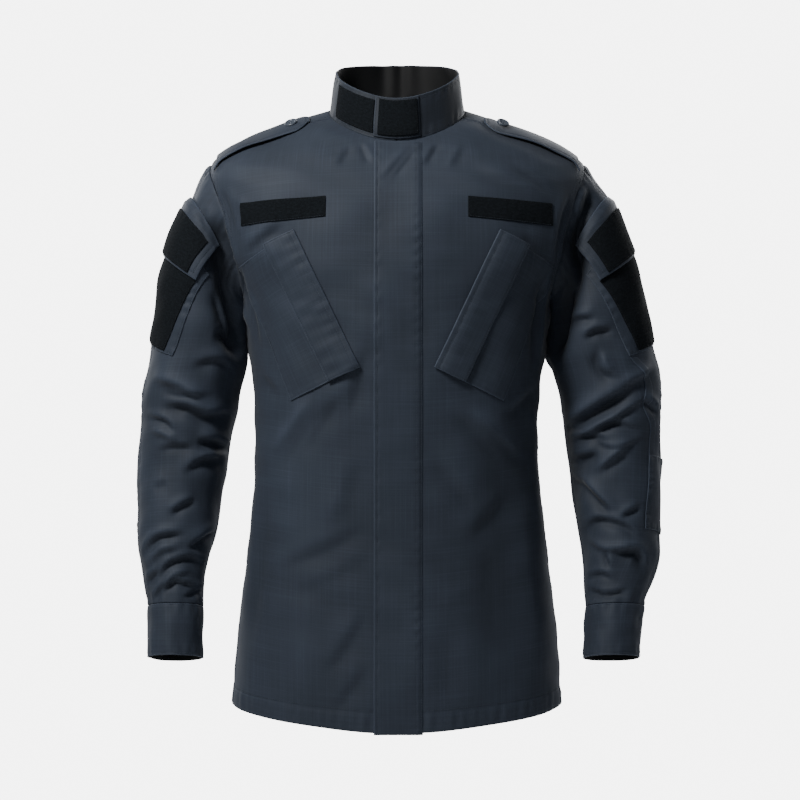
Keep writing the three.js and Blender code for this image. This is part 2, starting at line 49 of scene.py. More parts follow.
BODY_FIELDS = ("side", "front", "back", "width", "depth_front", "depth_back", "power")
BODY_RINGS = np.array([
    (-0.735, -0.757, -0.739, 0.2040, 0.138, 0.134, 2.40),
    (-0.679, -0.692, -0.681, 0.2005, 0.136, 0.130, 2.40),
    (-0.622, -0.628, -0.623, 0.1955, 0.132, 0.125, 2.40),
    (-0.566, -0.569, -0.566, 0.1895, 0.129, 0.121, 2.40),
    (-0.510, -0.511, -0.510, 0.1840, 0.127, 0.117, 2.40),
    (-0.454, -0.454, -0.454, 0.1790, 0.127, 0.114, 2.40),
    (-0.397, -0.399, -0.397, 0.1775, 0.129, 0.115, 2.40),
    (-0.345, -0.350, -0.345, 0.1800, 0.132, 0.118, 2.40),
    (-0.300, -0.308, -0.300, 0.1843, 0.134, 0.121, 2.40),
    (-0.235, -0.248, -0.234, 0.1880, 0.135, 0.124, 2.45),
    (-0.180, -0.205, -0.178, 0.2130, 0.133, 0.124, 2.50),
    (-0.130, -0.166, -0.125, 0.2310, 0.128, 0.121, 2.45),
    (-0.084, -0.130, -0.080, 0.2380, 0.120, 0.115, 2.35),
    (-0.064, -0.109, -0.051, 0.2320, 0.113, 0.109, 2.25),
    (-0.046, -0.088, -0.026, 0.2050, 0.103, 0.099, 2.20),
    (-0.028, -0.068, -0.005, 0.1630, 0.092, 0.087, 2.15),
    (-0.010, -0.052, 0.010, 0.1180, 0.081, 0.073, 2.05),
    (0.000, -0.044, 0.017, 0.0835, 0.076, 0.066, 2.00),
])
HEM, NECK = -0.735, 0.0
ARMHOLE_MIDDLE, ARMHOLE_HALF_HEIGHT, ARMHOLE_HALF_TURN = -0.1505, 0.0845, 18.0
ARMPIT = ARMHOLE_MIDDLE - ARMHOLE_HALF_HEIGHT
SHOULDER_POINT = ARMHOLE_MIDDLE + ARMHOLE_HALF_HEIGHT
SIDE_SEAM_AT_HEM, SHOULDER_SEAM_AT_NECK = 82.0, 73.0

SLEEVE_FIELDS = ("outer_left", "outer_right", "inner_left", "inner_right", "inner_at",
                 "middle", "depth", "lean")
SLEEVE_RINGS = np.array([  # the first column is the height of the ring's outermost point
    (-0.066, 0.2370, 0.2370, 0.1888, 0.1888, -0.2358, 0.002, 0.0620, 0),
    (-0.112, 0.2640, 0.2600, 0.1902, 0.1902, -0.2380, 0.004, 0.0680, 0),
    (-0.160, 0.2840, 0.2810, 0.1902, 0.1900, -0.2420, 0.005, 0.0720, 0),
    (-0.205, 0.2990, 0.2925, 0.1898, 0.1896, -0.2490, 0.006, 0.0740, 0),
    (-0.250, 0.3100, 0.2995, 0.1889, 0.1889, -0.2660, 0.006, 0.0750, 0),
    (-0.300, 0.3210, 0.3090, 0.1872, 0.1872, -0.3020, 0.007, 0.0740, 0),
    (-0.325, 0.3280, 0.3150, 0.1945, 0.1905, -0.3250, 0.008, 0.0730, 0),
    (-0.360, 0.3320, 0.3200, 0.2040, 0.1990, -0.3600, 0.009, 0.0710, 1),
    (-0.435, 0.3310, 0.3220, 0.2150, 0.2110, -0.4350, 0.006, 0.0650, 5),
    (-0.510, 0.3290, 0.3240, 0.2250, 0.2250, -0.5100, -0.008, 0.0580, 10),
    (-0.548, 0.3280, 0.3230, 0.2305, 0.2310, -0.5480, -0.017, 0.0530, 12),
    (-0.585, 0.3170, 0.3140, 0.2330, 0.2370, -0.5850, -0.026, 0.0450, 12),
    (-0.615, 0.3055, 0.3075, 0.2335, 0.2395, -0.6150, -0.034, 0.0405, 12),
    (-0.677, 0.2985, 0.3045, 0.2295, 0.2395, -0.6770, -0.048, 0.0410, 12),
])
SLEEVE_POWER = 2.15
CUFF_TOP, CUFF_END = -0.615, -0.677
OUTER_SEAM, INNER_SEAM = 20.0, 180.0

COLLAR_SEAM = dict(side=0.0, front=-0.044, back=0.017, width=0.0835, depth_front=0.076,
                   depth_back=0.066)
COLLAR_TOP = dict(side=0.050, front=0.009, back=0.068, width=0.0765, depth_front=0.070,
                  depth_back=0.066)
COLLAR_POWER = 2.05

PLACKET_FREE, PLACKET_SEWN, PLACKET_BELOW_HEM = -0.0275, 0.031, 0.0015
NAME_TAPE = ((0.0855, -0.140), (0.188, -0.1495), (0.188, -0.122), (0.0855, -0.115))
CHEST_FLAP = ((0.081, -0.3385), (0.044, -0.3205), (0.1235, -0.155), (0.159, -0.1735))
CHEST_POCKET = ((0.127, -0.361), (0.0475, -0.3215), (0.125, -0.159), (0.193, -0.198))
SLEEVE_POCKET = ((66, -0.306), (-58, -0.268), (-26, -0.126), (98, -0.160))
SLEEVE_POCKET_PANEL = ((54, -0.299), (-48, -0.269), (-18, -0.168), (84, -0.190))
SLEEVE_FLAP = ((84, -0.189), (-34, -0.174), (-30, -0.112), (94, -0.099))
SLEEVE_FLAP_PANEL = ((73, -0.184), (-26, -0.172), (-23, -0.126), (81, -0.116))
ELBOW_PATCH = {
    "left": ((61, -0.527), (-41, -0.527), (-41, -0.436), (52, -0.432)),
    "right": ((-4, -0.527), (-106, -0.527), (-106, -0.434), (-4, -0.434)),
}
EPAULETTE = dict(outer=0.224, tip=0.108, middle_line=-0.020, half_width=0.025, rise=0.003)
BUTTON_FROM_TIP = 0.022

# ------------------------------------------------------------------ cloth

CLOTH = 0.0007  # one layer of ripstop
FOLD_PAINT_DEPTH = 0.004  # a ridge this high gets a step of painted light; a trough this deep, a step of painted shade
MOST_PAINTED_SHADE, MOST_PAINTED_LIGHT = -3.0, 1.2  # steps: the most painted shade in a trough, and the most painted light on a ridge
EDGE_WEAR_HIGHLIGHT_WIDTH = 0.0016  # width of the lighter line along a finished edge: wear and painted highlight
CUT_EDGE = 0.0012  # width over which an unfinished edge thins
SEAM_GAP = 0.00034
PANEL_STEP = 0.0041  # spacing of the points on the body
SLEEVE_STEP = 0.0030  # and on the sleeves, whose creases are narrower
PATCH_STEP = 0.0022  # and on what is sewn on them
POCKET_STEP, PLACKET_STEP, SEAM_STEP = 0.0024, 0.0026, 0.0020


def smooth_curve(knots, values):
    """A curve through (knots, values) that never overshoots them."""
    steps = np.diff(knots)
    slopes = np.diff(values) / steps
    before, after = slopes[:-1], slopes[1:]
    same_way = before * after > 0
    mean = np.where(same_way, before + after, 1.0)
    inner = np.where(same_way, 2 * before * after / mean, 0.0)
    tangents = np.concatenate([slopes[:1], inner, slopes[-1:]])

    def value(at):
        i = np.clip(np.searchsorted(knots, at, side="right") - 1, 0, len(steps) - 1)
        u = (at - knots[i]) / steps[i]
        return (values[i] * (1 + 2 * u) * (1 - u) ** 2 + values[i + 1] * u * u * (3 - 2 * u)
                + tangents[i] * steps[i] * u * (1 - u) ** 2
                - tangents[i + 1] * steps[i] * u * u * (1 - u))

    return value


def mix(a, b, part):
    return a + (b - a) * part


def smooth_step(x, low, high):
    t = np.clip((x - low) / (high - low), 0, 1)
    return t * t * (3 - 2 * t)


def rounded_radius(sin, cos, half_width, half_depth, power):
    across = np.abs(sin / half_width) ** power + np.abs(cos / half_depth) ** power
    return across ** (-1 / power)


def ring_height(turn, side, front, back):
    mean = (front + back) / 4
    return (mean + side / 2 + (front - back) / 2 * np.cos(turn)
            + (mean - side / 2) * np.cos(2 * turn))


def ring_point(turn, ring, power):
    sin, cos = np.sin(turn), np.cos(turn)
    depth = np.where(cos > 0, ring["depth_front"], ring["depth_back"])
    radius = rounded_radius(sin, cos, ring["width"], depth, power)
    height = ring_height(turn, ring["side"], ring["front"], ring["back"])
    return np.stack([radius * sin, -radius * cos, height], axis=-1)


def grid_normals(points, outward):
    """Normals of a grid of points, rows first."""
    along = np.gradient(points, axis=1)
    up = np.gradient(points, axis=0)
    return unit(np.cross(along, up)) * outward


BODY_CURVES = {name: smooth_curve(BODY_RINGS[:, 0], BODY_RINGS[:, k])
               for k, name in enumerate(BODY_FIELDS)}


def body_point(degrees, side):
    """The plain body: degrees from the centre front, and the ring's height at the side."""
    degrees, side = np.broadcast_arrays(np.asarray(degrees, float), np.asarray(side, float))
    ring = {name: curve(side) for name, curve in BODY_CURVES.items()}
    return ring_point(np.radians(degrees), ring, ring["power"])


def collar_point(degrees, up):
    """The plain collar: degrees from the centre front, and 0 at its seam to 1 at its top."""
    degrees, up = np.broadcast_arrays(np.asarray(degrees, float), np.asarray(up, float))
    ring = {name: mix(COLLAR_SEAM[name], COLLAR_TOP[name], up) for name in COLLAR_SEAM}
    return ring_point(np.radians(degrees), ring, COLLAR_POWER)


def armhole_place(turn_round):
    """The armhole's edge on the body, by degrees round it: 0 at the top, 90 at the front."""
    turn = np.radians(turn_round)
    return (90 - ARMHOLE_HALF_TURN * np.sin(turn),
            ARMHOLE_MIDDLE + ARMHOLE_HALF_HEIGHT * np.cos(turn))


def sleeve_surface(side_name):
    """The plain sleeve on the wearer's left or right, mirrored to +X."""
    falling = SLEEVE_RINGS[::-1]
    curves = {name: smooth_curve(falling[:, 0], falling[:, k + 1])
              for k, name in enumerate(SLEEVE_FIELDS)}
    start, blend_end = SLEEVE_RINGS[0, 0], SLEEVE_RINGS[1, 0]

    def point(turn_round, at):
        turn_round, at = np.broadcast_arrays(np.asarray(turn_round, float), np.asarray(at, float))
        zero = np.zeros_like(at)
        outer = np.stack([curves["outer_" + side_name](at), zero, at], axis=-1)
        inner = np.stack([curves["inner_" + side_name](at), zero, curves["inner_at"](at)], axis=-1)
        across = outer - inner
        length = np.linalg.norm(across, axis=-1, keepdims=True)
        turn = np.radians(turn_round)
        radius = rounded_radius(np.sin(turn), np.cos(turn), 1, 1, SLEEVE_POWER)
        lean = np.radians(curves["lean"](at))
        forward = np.stack([zero, -np.cos(lean), np.sin(lean)], axis=-1)
        centre = (outer + inner) / 2
        centre[..., 1] = curves["middle"](at)
        result = (centre + across / 2 * (radius * np.cos(turn))[..., None]
                  + forward * (curves["depth"](at) * radius * np.sin(turn))[..., None])
        edge = body_point(*armhole_place(turn_round))
        past_armhole = smooth_step(start - at, 0, start - blend_end)[..., None]
        return mix(edge, result, past_armhole)

    return point


def unit(vectors):
    return vectors / np.maximum(np.linalg.norm(vectors, axis=-1, keepdims=True), 1e-12)


def normals_of(surface, u, v, outward, step_u=0.1, step_v=3e-4):
    along = surface(u + step_u, v) - surface(u - step_u, v)
    up = surface(u, v + step_v) - surface(u, v - step_v)
    return unit(np.cross(along, up)) * outward

# ------------------------------------------------------------------ creases


FOLD_POWER = 1.6  # a crease's profile: 2 is a bell, less is a sharper crest
NEIGHBOUR_AT = 2.0  # how many of its steep widths away its neighbour is
REACH = 2.2  # how many widths from its crest a crease has died


class Creases:
    """Soft ridges and troughs on one face of a surface, each along a path of (x, z) places."""

    def __init__(self, surface, us, vs, outward, gain=1.0, slimmer=1.0, steep=0.55):
        self.gain, self.slimmer, self.steep = gain, slimmer, steep
        grid_u, grid_v = np.meshgrid(us, vs)
        self.points = surface(grid_u, grid_v).reshape(-1, 3)
        self.normals = normals_of(surface, grid_u, grid_v, outward).reshape(-1, 3)
        self.folds = []

    def add(self, places, height, width, steep=None, bank=0.5, tail=0.35):
        """height: out of the cloth, or into it if negative. width: of its gentle side, which is
        above a ridge and below a trough. steep: its other side's width, as a part of that. bank:
        how much of its height its neighbour has, the ridge above a trough or the trough below a
        ridge. tail: the part of its length over which each end dies."""
        places = np.array(places, float)
        knots = np.linspace(0, 1, len(places))
        spread = np.linspace(0, 1, 4 * len(places) + 1)
        smooth = [smooth_curve(knots, places[:, k])(spread) for k in (0, 1)]
        line, normals = [], []
        for x, z in zip(*smooth):
            k = np.argmin((self.points[:, 0] - x) ** 2 + (self.points[:, 2] - z) ** 2)
            line.append((x, self.points[k, 1], z))
            normals.append(self.normals[k])
        line, normals = np.array(line), np.array(normals)
        line[1:-1, 1] = (line[:-2, 1] + line[1:-1, 1] + line[2:, 1]) / 3
        aside = unit(np.cross(line[-1] - line[0], normals.mean(axis=0)))
        if aside[2] < 0:
            aside = -aside
        gentle = width * self.slimmer
        sharp = gentle * (self.steep if steep is None else steep)
        gentle_way = -aside if height < 0 else aside
        self.folds.append((line, gentle_way, height * self.gain, gentle, sharp, bank, tail))

    def depth(self, points):
        flat = points.reshape(-1, 3)
        total = np.zeros(len(flat))
        for line, gentle_way, height, gentle, sharp, bank, tail in self.folds:
            reach = NEIGHBOUR_AT * sharp + REACH * gentle
            low, high = line.min(axis=0) - reach, line.max(axis=0) + reach
            near = np.nonzero(np.all((flat > low) & (flat < high), axis=1))[0]
            if not len(near):
                continue
            here = flat[near]
            best = np.full(len(here), np.inf)
            gap, along = np.zeros_like(here), np.zeros(len(here))
            for k in range(len(line) - 1):
                step = line[k + 1] - line[k]
                part = np.clip((here - line[k]) @ step / (step @ step), 0, 1)
                offset = here - (line[k] + part[:, None] * step)
                distance = np.linalg.norm(offset, axis=1)
                nearer = distance < best
                best[nearer] = distance[nearer]
                gap[nearer] = offset[nearer]
                along[nearer] = (k + part[nearer]) / (len(line) - 1)
            aside = np.where(gap @ gentle_way > 0, best, -best)
            beyond = -aside - NEIGHBOUR_AT * sharp
            ends = smooth_step(np.minimum(along, 1 - along), -0.03, tail)
            shape = np.exp(-(best / np.where(aside > 0, gentle, sharp)) ** FOLD_POWER)
            neighbour = np.exp(-(beyond / np.where(beyond > 0, gentle, sharp)) ** 2)
            total[near] += height * ends * (shape - bank * neighbour)
        return total.reshape(points.shape[:-1])


RIPPLE_WAYS = 5  # waves of each length, each in its own direction
RIPPLE_SHARE = 0.45  # of the height given, for each of them


def ripples(points, seed, sizes):
    """Slight unevenness of hanging cloth: waves of a few (length, height) in many directions."""
    random = np.random.default_rng(seed)
    total = np.zeros(points.shape[:-1])
    for length, height in sizes:
        for _ in range(RIPPLE_WAYS):
            direction = unit(random.normal(size=3) * (1.0, 1.0, 0.7))
            phase = random.uniform(0, 2 * math.pi)
            total += height * RIPPLE_SHARE * np.sin(points @ direction * 2 * math.pi / length + phase)
    return total


BODY_RIPPLES = ((0.17, 0.0010), (0.085, 0.0008), (0.04, 0.00035))
SLEEVE_RIPPLES = ((0.13, 0.0014), (0.06, 0.0009), (0.03, 0.0004))

# The creases: places (x, z) along each, its height and width, in millimetres, and where they are
# not the usual ones, the steep, bank and tail that Creases.add tells of.
FRONT_CREASES = (
    # the neck, by the storm flap and the collar
    ([(-45, -46), (-33, -76)], -1.6, 5), ([(-22, -95), (15, -50)], 1.4, 6),
    ([(-6, -98), (25, -56)], -1.2, 5), ([(34, -80), (52, -46)], -1.8, 6),
    ([(60, -82), (78, -46)], 1.2, 7), ([(-70, -80), (-55, -50)], -1.2, 7),
    # the armholes
    ([(-226, -120), (-198, -192), (-183, -280)], -4.4, 7, None, 0.5, 0.12),
    ([(-214, -100), (-204, -130), (-195, -165)], -2.4, 8),
    ([(-183, -185), (-160, -166), (-134, -150)], -3, 9),
    ([(-196, -190), (-180, -240), (-170, -300)], -4, 10), ([(-192, -112), (-178, -150)], 2.2, 8),
    ([(89, -73), (140, -92), (190, -120)], 1.8, 12), ([(133, -74), (165, -92), (192, -112)], -2.2, 9),
    ([(212, -105), (200, -150), (193, -200)], -3.8, 8),
    ([(180, -200), (172, -260), (166, -330)], -5, 12),
    ([(-186.5, -238), (-185.567, -275), (-182.77, -325)], 2.2, 14, 1.0, 0.0, 0.3),
    ([(186.5, -238), (185.567, -275), (182.77, -325)], 3.6, 14, 1.0, 0.0, 0.3),
    ([(182, -190), (150, -160)], -1.6, 9),
    # the waist, below the chest pockets
    ([(-34, -292), (-44, -340), (-60, -390)], -2.2, 14),
    ([(-52, -345), (-85, -385), (-110, -430)], -2, 13),
    ([(-100, -352), (-127, -390), (-152, -426)], 2.8, 11),
    ([(-78, -360), (-110, -400), (-140, -446)], -1.8, 12), ([(-168, -330), (-140, -360)], -1.8, 10),
    ([(84, -366), (120, -396), (158, -432)], 3, 11),
    ([(62, -372), (100, -410), (138, -452)], -2.6, 13), ([(38, -430), (66, -462), (96, -502)], -2, 15),
    ([(85, -536), (112, -505), (142, -474)], -2, 16),
    ([(128, -384), (152, -364), (174, -346)], -2.6, 9),
    # the skirt
    ([(-150, -568), (-88, -542), (-31, -513)], -2.2, 14),
    ([(-136, -586), (-85, -566), (-34, -538)], 0.8, 13),
    ([(-85, -690), (-58, -655), (-32, -610)], -1.8, 13),
    ([(-76, -732), (-54, -708), (-32, -676)], -1.4, 11),
    ([(-150, -446), (-166, -560), (-180, -680)], -3, 22, 0.8),
    ([(-112, -580), (-114, -650), (-118, -720)], 2.2, 20, 0.9),
    ([(-60, -420), (-70, -470), (-92, -520)], 1.6, 18),
    ([(46, -604), (78, -588), (112, -568)], 0.8, 14),
    ([(108, -520), (112, -600), (118, -690)], -2.8, 24, 0.8),
    ([(150, -480), (162, -590), (174, -700)], 2.2, 20, 0.9),
    ([(60, -620), (58, -680), (62, -740)], -1.6, 16, 0.9),
)
BACK_CREASES = (
    ([(196, -120), (176, -170), (150, -230)], -3.6, 12),
    ([(176, -110), (158, -160), (140, -200)], 2.2, 12),
    ([(188, -235), (150, -262), (100, -270)], -3.2, 11),
    ([(176, -290), (120, -320), (60, -318)], -2.8, 13),
    ([(172, -350), (125, -362), (70, -390)], -3.4, 11),
    ([(172, -420), (120, -404), (62, -412)], -2.8, 10),
    ([(120, -440), (128, -560), (140, -690)], -3.4, 22), ([(55, -450), (60, -560), (66, -700)], 3, 26),
    ([(60, -60), (50, -100)], -1.4, 10),
)
BACK_MIDDLE_CREASES = (
    ([(10, -440), (2, -560), (8, -700)], -3, 22, 0.9), ([(-40, -30), (0, -40), (42, -32)], -1.8, 9),
)
BACK_STEEP = 0.8
BACK_SHIFT = 6  # millimetres out and up, so that the back's two halves aren't alike


def add_all(creases, rows, mirror=1, shift=(0, 0), steep=None):
    """Adds the creases of a table, all in metres, with what is usual for the table."""
    for places, height, width, *own in rows:
        creases.add([((mirror * x + shift[0]) / 1000, (z + shift[1]) / 1000) for x, z in places],
                    height / 1000, width / 1000, *(own or (steep,)))


BODY_HEIGHTS = np.arange(HEM, NECK, 0.002)
chest = Creases(body_point, np.arange(-92, 93, 1.0), BODY_HEIGHTS, 1, 1.15)
shoulder_blades = Creases(body_point, np.arange(88, 273, 1.0), BODY_HEIGHTS, 1, 1.15)
add_all(chest, FRONT_CREASES)
for mirror in (1, -1):
    add_all(shoulder_blades, BACK_CREASES, mirror, (BACK_SHIFT * mirror, BACK_SHIFT * mirror),
            BACK_STEEP)
add_all(shoulder_blades, BACK_MIDDLE_CREASES)


def body_depth(points, side):
    depth = chest.depth(points) + shoulder_blades.depth(points)
    return (depth + ripples(points, 11, BODY_RIPPLES)) * smooth_step(NECK - side, 0.0, 0.012)


def creased_body(degrees, side):
    degrees, side = np.broadcast_arrays(np.asarray(degrees, float), np.asarray(side, float))
    points = body_point(degrees, side)
    normals = normals_of(body_point, degrees, side, 1)
    return points + normals * body_depth(points, side)[..., None]


PLAIN_SLEEVE = {name: sleeve_surface(name) for name in ("left", "right")}
ARMHOLE_AT, BLEND_END = SLEEVE_RINGS[0, 0], SLEEVE_RINGS[1, 0]
FRONT_TURNS, BACK_TURNS = np.arange(-12, 193, 1.5), np.arange(168, 373, 1.5)
SLEEVE_HEIGHTS = np.arange(CUFF_TOP, ARMHOLE_AT, 0.0015)
SLEEVE_FOLDS = {
    name: (Creases(plain, FRONT_TURNS, SLEEVE_HEIGHTS, -1, 1.25, 0.98, 0.5),
           Creases(plain, BACK_TURNS, SLEEVE_HEIGHTS, -1, 1.25, 0.98, 0.5))
    for name, plain in PLAIN_SLEEVE.items()
}

SLEEVE_FRONT_CREASES = {
    "right": (
        ([(232, -135), (214, -195), (201, -250), (194, -315)], -13, 17, 1.0, 0.1, 0.2),
        ([(214, -205), (204, -240), (190, -275)], 2.4, 6),
        ([(226, -225), (214, -258), (204, -290)], -5.2, 10),
        ([(224, -277), (208, -284), (190, -302)], -5, 11),
        ([(240, -120), (236, -150), (238, -180)], -1.8, 8),
        ([(252, -322), (222, -314), (199, -328)], -3, 9),
        ([(302, -330), (266, -340), (230, -362)], 4.2, 10),
        ([(288, -350), (262, -356), (226, -356)], -2.6, 7),
        ([(292, -369), (262, -371), (232, -382), (202, -378)], -6.8, 10),
        ([(312, -381), (287, -387), (272, -401)], -3.6, 6),
        ([(304, -396), (284, -402), (268, -412)], 2.8, 7),
        ([(296, -423), (270, -418), (247, -420)], -2.6, 7),
        ([(246, -412), (226, -414), (205, -424)], -5.8, 9),
        ([(262, -453), (236, -437), (212, -438)], -4, 9),
        ([(246, -432), (232, -426), (214, -428)], 2, 7),
        ([(278, -502), (262, -491), (244, -483)], -3.8, 7), ([(300, -470), (280, -462)], -1.4, 9),
        ([(314, -553), (288, -528), (256, -524)], -4.4, 7),
        ([(310, -566), (286, -541), (262, -537)], 2.6, 7),
        ([(256, -545), (238, -532), (226, -524)], -4.6, 9),
        ([(293, -583), (275, -560), (254, -554), (235, -565)], -4.2, 6),
        ([(290, -594), (272, -572), (252, -568)], 2.4, 6), ([(308, -586), (288, -566)], -3.4, 6),
        ([(301, -604), (284, -577)], 2.4, 5), ([(286, -594), (268, -583), (238, -595)], -3.4, 5),
        ([(262, -602), (236, -592)], -2.6, 5),
    ),
    "left": (
        ([(242, -100), (226, -150), (212, -236)], -6.6, 10, None, 0.5, 0.15),
        ([(230, -130), (214, -195), (201, -250), (194, -315)], -15, 18, 1.0, 0.1, 0.2),
        ([(240, -130), (233, -165), (230, -190)], 1.2, 7),
        ([(204, -264), (224, -262), (244, -261)], -3.6, 8),
        ([(228, -288), (244, -277), (266, -275)], -4.2, 7),
        ([(187.6, -255), (188, -285), (189, -322)], 3.4, 14, 1.0, 0.0, 0.25),
        ([(246, -292), (243, -316), (254, -331), (275, -335)], -3.8, 8),
        ([(252, -300), (256, -316), (268, -322)], 2.4, 9),
        ([(204, -402), (246, -373), (300, -341)], -7.4, 11),
        ([(216, -408), (258, -384), (303, -354)], 4.6, 7),
        ([(210, -412), (238, -406), (263, -412)], -3.4, 6),
        ([(240, -400), (266, -389), (302, -400)], -3.4, 6),
        ([(236, -404), (265, -415), (303, -404)], 2.4, 5),
        ([(286, -410), (262, -430), (242, -448)], 4.2, 8),
        ([(215, -437), (232, -432), (248, -426)], -4, 8),
        ([(214, -453), (240, -479), (263, -505)], -4, 9),
        ([(226, -450), (250, -476), (272, -497)], 2.2, 8),
        ([(272, -505), (286, -498), (300, -489)], -3.4, 6),
        ([(228, -523), (248, -508), (276, -514), (297, -532)], -4.6, 7),
        ([(231, -530), (259, -541), (297, -537)], 3.2, 6), ([(252, -546), (260, -566)], -3.4, 5),
        ([(264, -549), (290, -546), (304, -574)], -5.4, 8),
        ([(234, -580), (248, -573), (266, -580)], -3.2, 5),
        ([(233, -593), (255, -598), (284, -591)], -3.8, 5),
        ([(272, -338), (294, -330), (316, -318)], 3.8, 9), ([(299, -358), (322, -378)], -4.4, 7),
    ),
}
SLEEVE_BACK_CREASES = (
    ([(236, -120), (222, -180), (206, -240)], -4.8, 9),
    ([(232, -280), (212, -290), (192, -306)], -4.2, 10),
    ([(262, -330), (236, -336), (202, -352)], -4.4, 10),
    ([(278, -356), (244, -376), (208, -380)], 3, 9),
    ([(284, -386), (250, -396), (212, -394)], -5.2, 10),
    ([(300, -424), (262, -426), (222, -414)], -3.6, 9),
    ([(262, -456), (240, -448), (216, -442)], -4.2, 9),
    ([(308, -548), (276, -532), (240, -536)], -4.2, 8),
    ([(300, -580), (270, -562), (238, -572)], -3.8, 6),
    ([(286, -598), (262, -588), (240, -596)], -3.2, 5),
)
SLEEVE_BACK_SHIFT = {"left": (0, 4), "right": (0, -3)}
for name, (front_folds, back_folds) in SLEEVE_FOLDS.items():
    add_all(front_folds, SLEEVE_FRONT_CREASES[name])
    add_all(back_folds, SLEEVE_BACK_CREASES, shift=SLEEVE_BACK_SHIFT[name])


def creased_sleeve(name):
    plain = PLAIN_SLEEVE[name]
    front, back = SLEEVE_FOLDS[name]
    seed = 23 if name == "left" else 37
    sign = 1 if name == "left" else -1

    def point(turn_round, at):
        turn_round, at = np.broadcast_arrays(np.asarray(turn_round, float), np.asarray(at, float))
        points = plain(turn_round, at)
        normals = normals_of(plain, turn_round, np.minimum(at, ARMHOLE_AT - 4e-4), -1)
        own = front.depth(points) + back.depth(points) + ripples(points, seed, SLEEVE_RIPPLES)
        own *= smooth_step(ARMHOLE_AT - at, 0, 0.02)
        own *= smooth_step(at - CUFF_TOP, -0.001, 0.012)
        degrees, side = armhole_place(turn_round)
        at_armhole = creased_body(sign * degrees, side) * (sign, 1, 1) - body_point(degrees, side)
        kept = smooth_step(at - ARMHOLE_AT, -0.03, 0)
        return points + normals * own[..., None] + at_armhole * kept[..., None]

    return point


SLEEVE = {name: creased_sleeve(name) for name in PLAIN_SLEEVE}


def stiffened(plain, creased, kept):
    """The surface that stiff doubled cloth keeps to, over the folds of what is under it."""
    return lambda u, v: mix(plain(u, v), creased(u, v), kept)

# ------------------------------------------------------------------ pieces of cloth


def laid_out(length, step, edge=(), start=True, end=True):
    """Places 0 to 1 along a length, a step apart, with closer ones at distances from the ends."""
    near = [d for d in edge if d < length / 2]
    first = near if start else []
    last = near if end else []
    low = (max(first) + step * 0.6) if first else 0.0
    high = length - ((max(last) + step * 0.6) if last else 0.0)
    count = max(2, int(round((high - low) / step)) + 1)
    middle = np.linspace(low, high, count)
    ends = [0.0] + list(first) + list(middle) + [length - d for d in last] + [length]
    return np.unique(np.round(np.array(ends) / length, 9))


def lengths_along(points, axis):
    steps = np.linalg.norm(np.diff(points, axis=axis), axis=-1)
    start = np.zeros_like(np.take(steps, [0], axis=axis))
    return np.cumsum(np.concatenate([start, steps], axis=axis), axis=axis)


class Margins:
    """Each grid point's distance, in metres, from the piece's four edges."""

    def __init__(self, points, wrapped=False):
        across, up = lengths_along(points, 1), lengths_along(points, 0)
        self.left, self.right = across, across[:, -1:] - across
        self.bottom, self.top = up, up[-1:, :] - up
        if wrapped:
            self.left = self.right = np.full_like(across, 1.0)
        self.across, self.up = across, up
        self.nearest = np.minimum.reduce([self.left, self.right, self.bottom, self.top])
        self.width, self.height = across[:, -1].max(), up[-1].max()


def groove(distance, at, depth=0.00035, half_width=0.0009):
    return -depth * np.exp(-((distance - at) / half_width) ** 2)


def pucker(distance, along, at, seed, height=0.00045, reach=0.0045, pitch=0.011):
    """Cloth gathered a little by a row of stitches."""
    random = np.random.default_rng(seed)
    waves = sum(np.sin(2 * math.pi * along / (pitch * random.uniform(0.7, 1.6))
                       + random.uniform(0, 6.28)) for _ in range(4))
    return height * 0.4 * waves * np.exp(-((distance - at) / reach) ** 2)


def rolled(distance, radius):
    """1 inside a piece, falling to 0.35 at its edge along a quarter circle."""
    t = np.clip(distance / radius, 0, 1)
    return 0.35 + 0.65 * np.sqrt(np.clip(1 - (1 - t) ** 2, 0, 1))


MATERIALS = {}


def mesh_object(name, vertices, faces, uv=None, marks=None):
    mesh = bpy.data.meshes.new(name)
    mesh.from_pydata(vertices.tolist(), [], faces)
    if uv is not None:
        layer = mesh.uv_layers.new(name="grain")
        corners = np.empty(len(mesh.loops), dtype=np.int32)
        mesh.loops.foreach_get("vertex_index", corners)
        layer.data.foreach_set("uv", uv[corners].ravel())
    for mark, values in (marks or {}).items():
        mesh.attributes.new(mark, "FLOAT", "POINT").data.foreach_set("value", values)
    mesh.validate()
    mesh.shade_smooth()
    made = bpy.data.objects.new(name, mesh)
    bpy.context.scene.collection.objects.link(made)
    return made


def wall_faces(rows, columns, wrapped):
    """Faces of a closed wall: outer grid, inner grid, and the rims between them."""
    across = columns if wrapped else columns - 1
    faces = []
    inner = rows * columns

    def at(layer, j, i):
        return layer * inner + j * columns + i % columns

    for j in range(rows - 1):
        for i in range(across):
            faces.append((at(0, j, i), at(0, j, i + 1), at(0, j + 1, i + 1), at(0, j + 1, i)))
            faces.append((at(1, j, i), at(1, j + 1, i), at(1, j + 1, i + 1), at(1, j, i + 1)))
    for i in range(across):
        top = rows - 1
        faces.append((at(1, 0, i), at(1, 0, i + 1), at(0, 0, i + 1), at(0, 0, i)))
        faces.append((at(0, top, i), at(0, top, i + 1), at(1, top, i + 1), at(1, top, i)))
    if not wrapped:
        right = columns - 1
        for j in range(rows - 1):
            faces.append((at(1, j + 1, 0), at(1, j, 0), at(0, j, 0), at(0, j + 1, 0)))
            faces.append((at(0, j + 1, right), at(0, j, right), at(1, j, right),
                          at(1, j + 1, right)))
    return faces


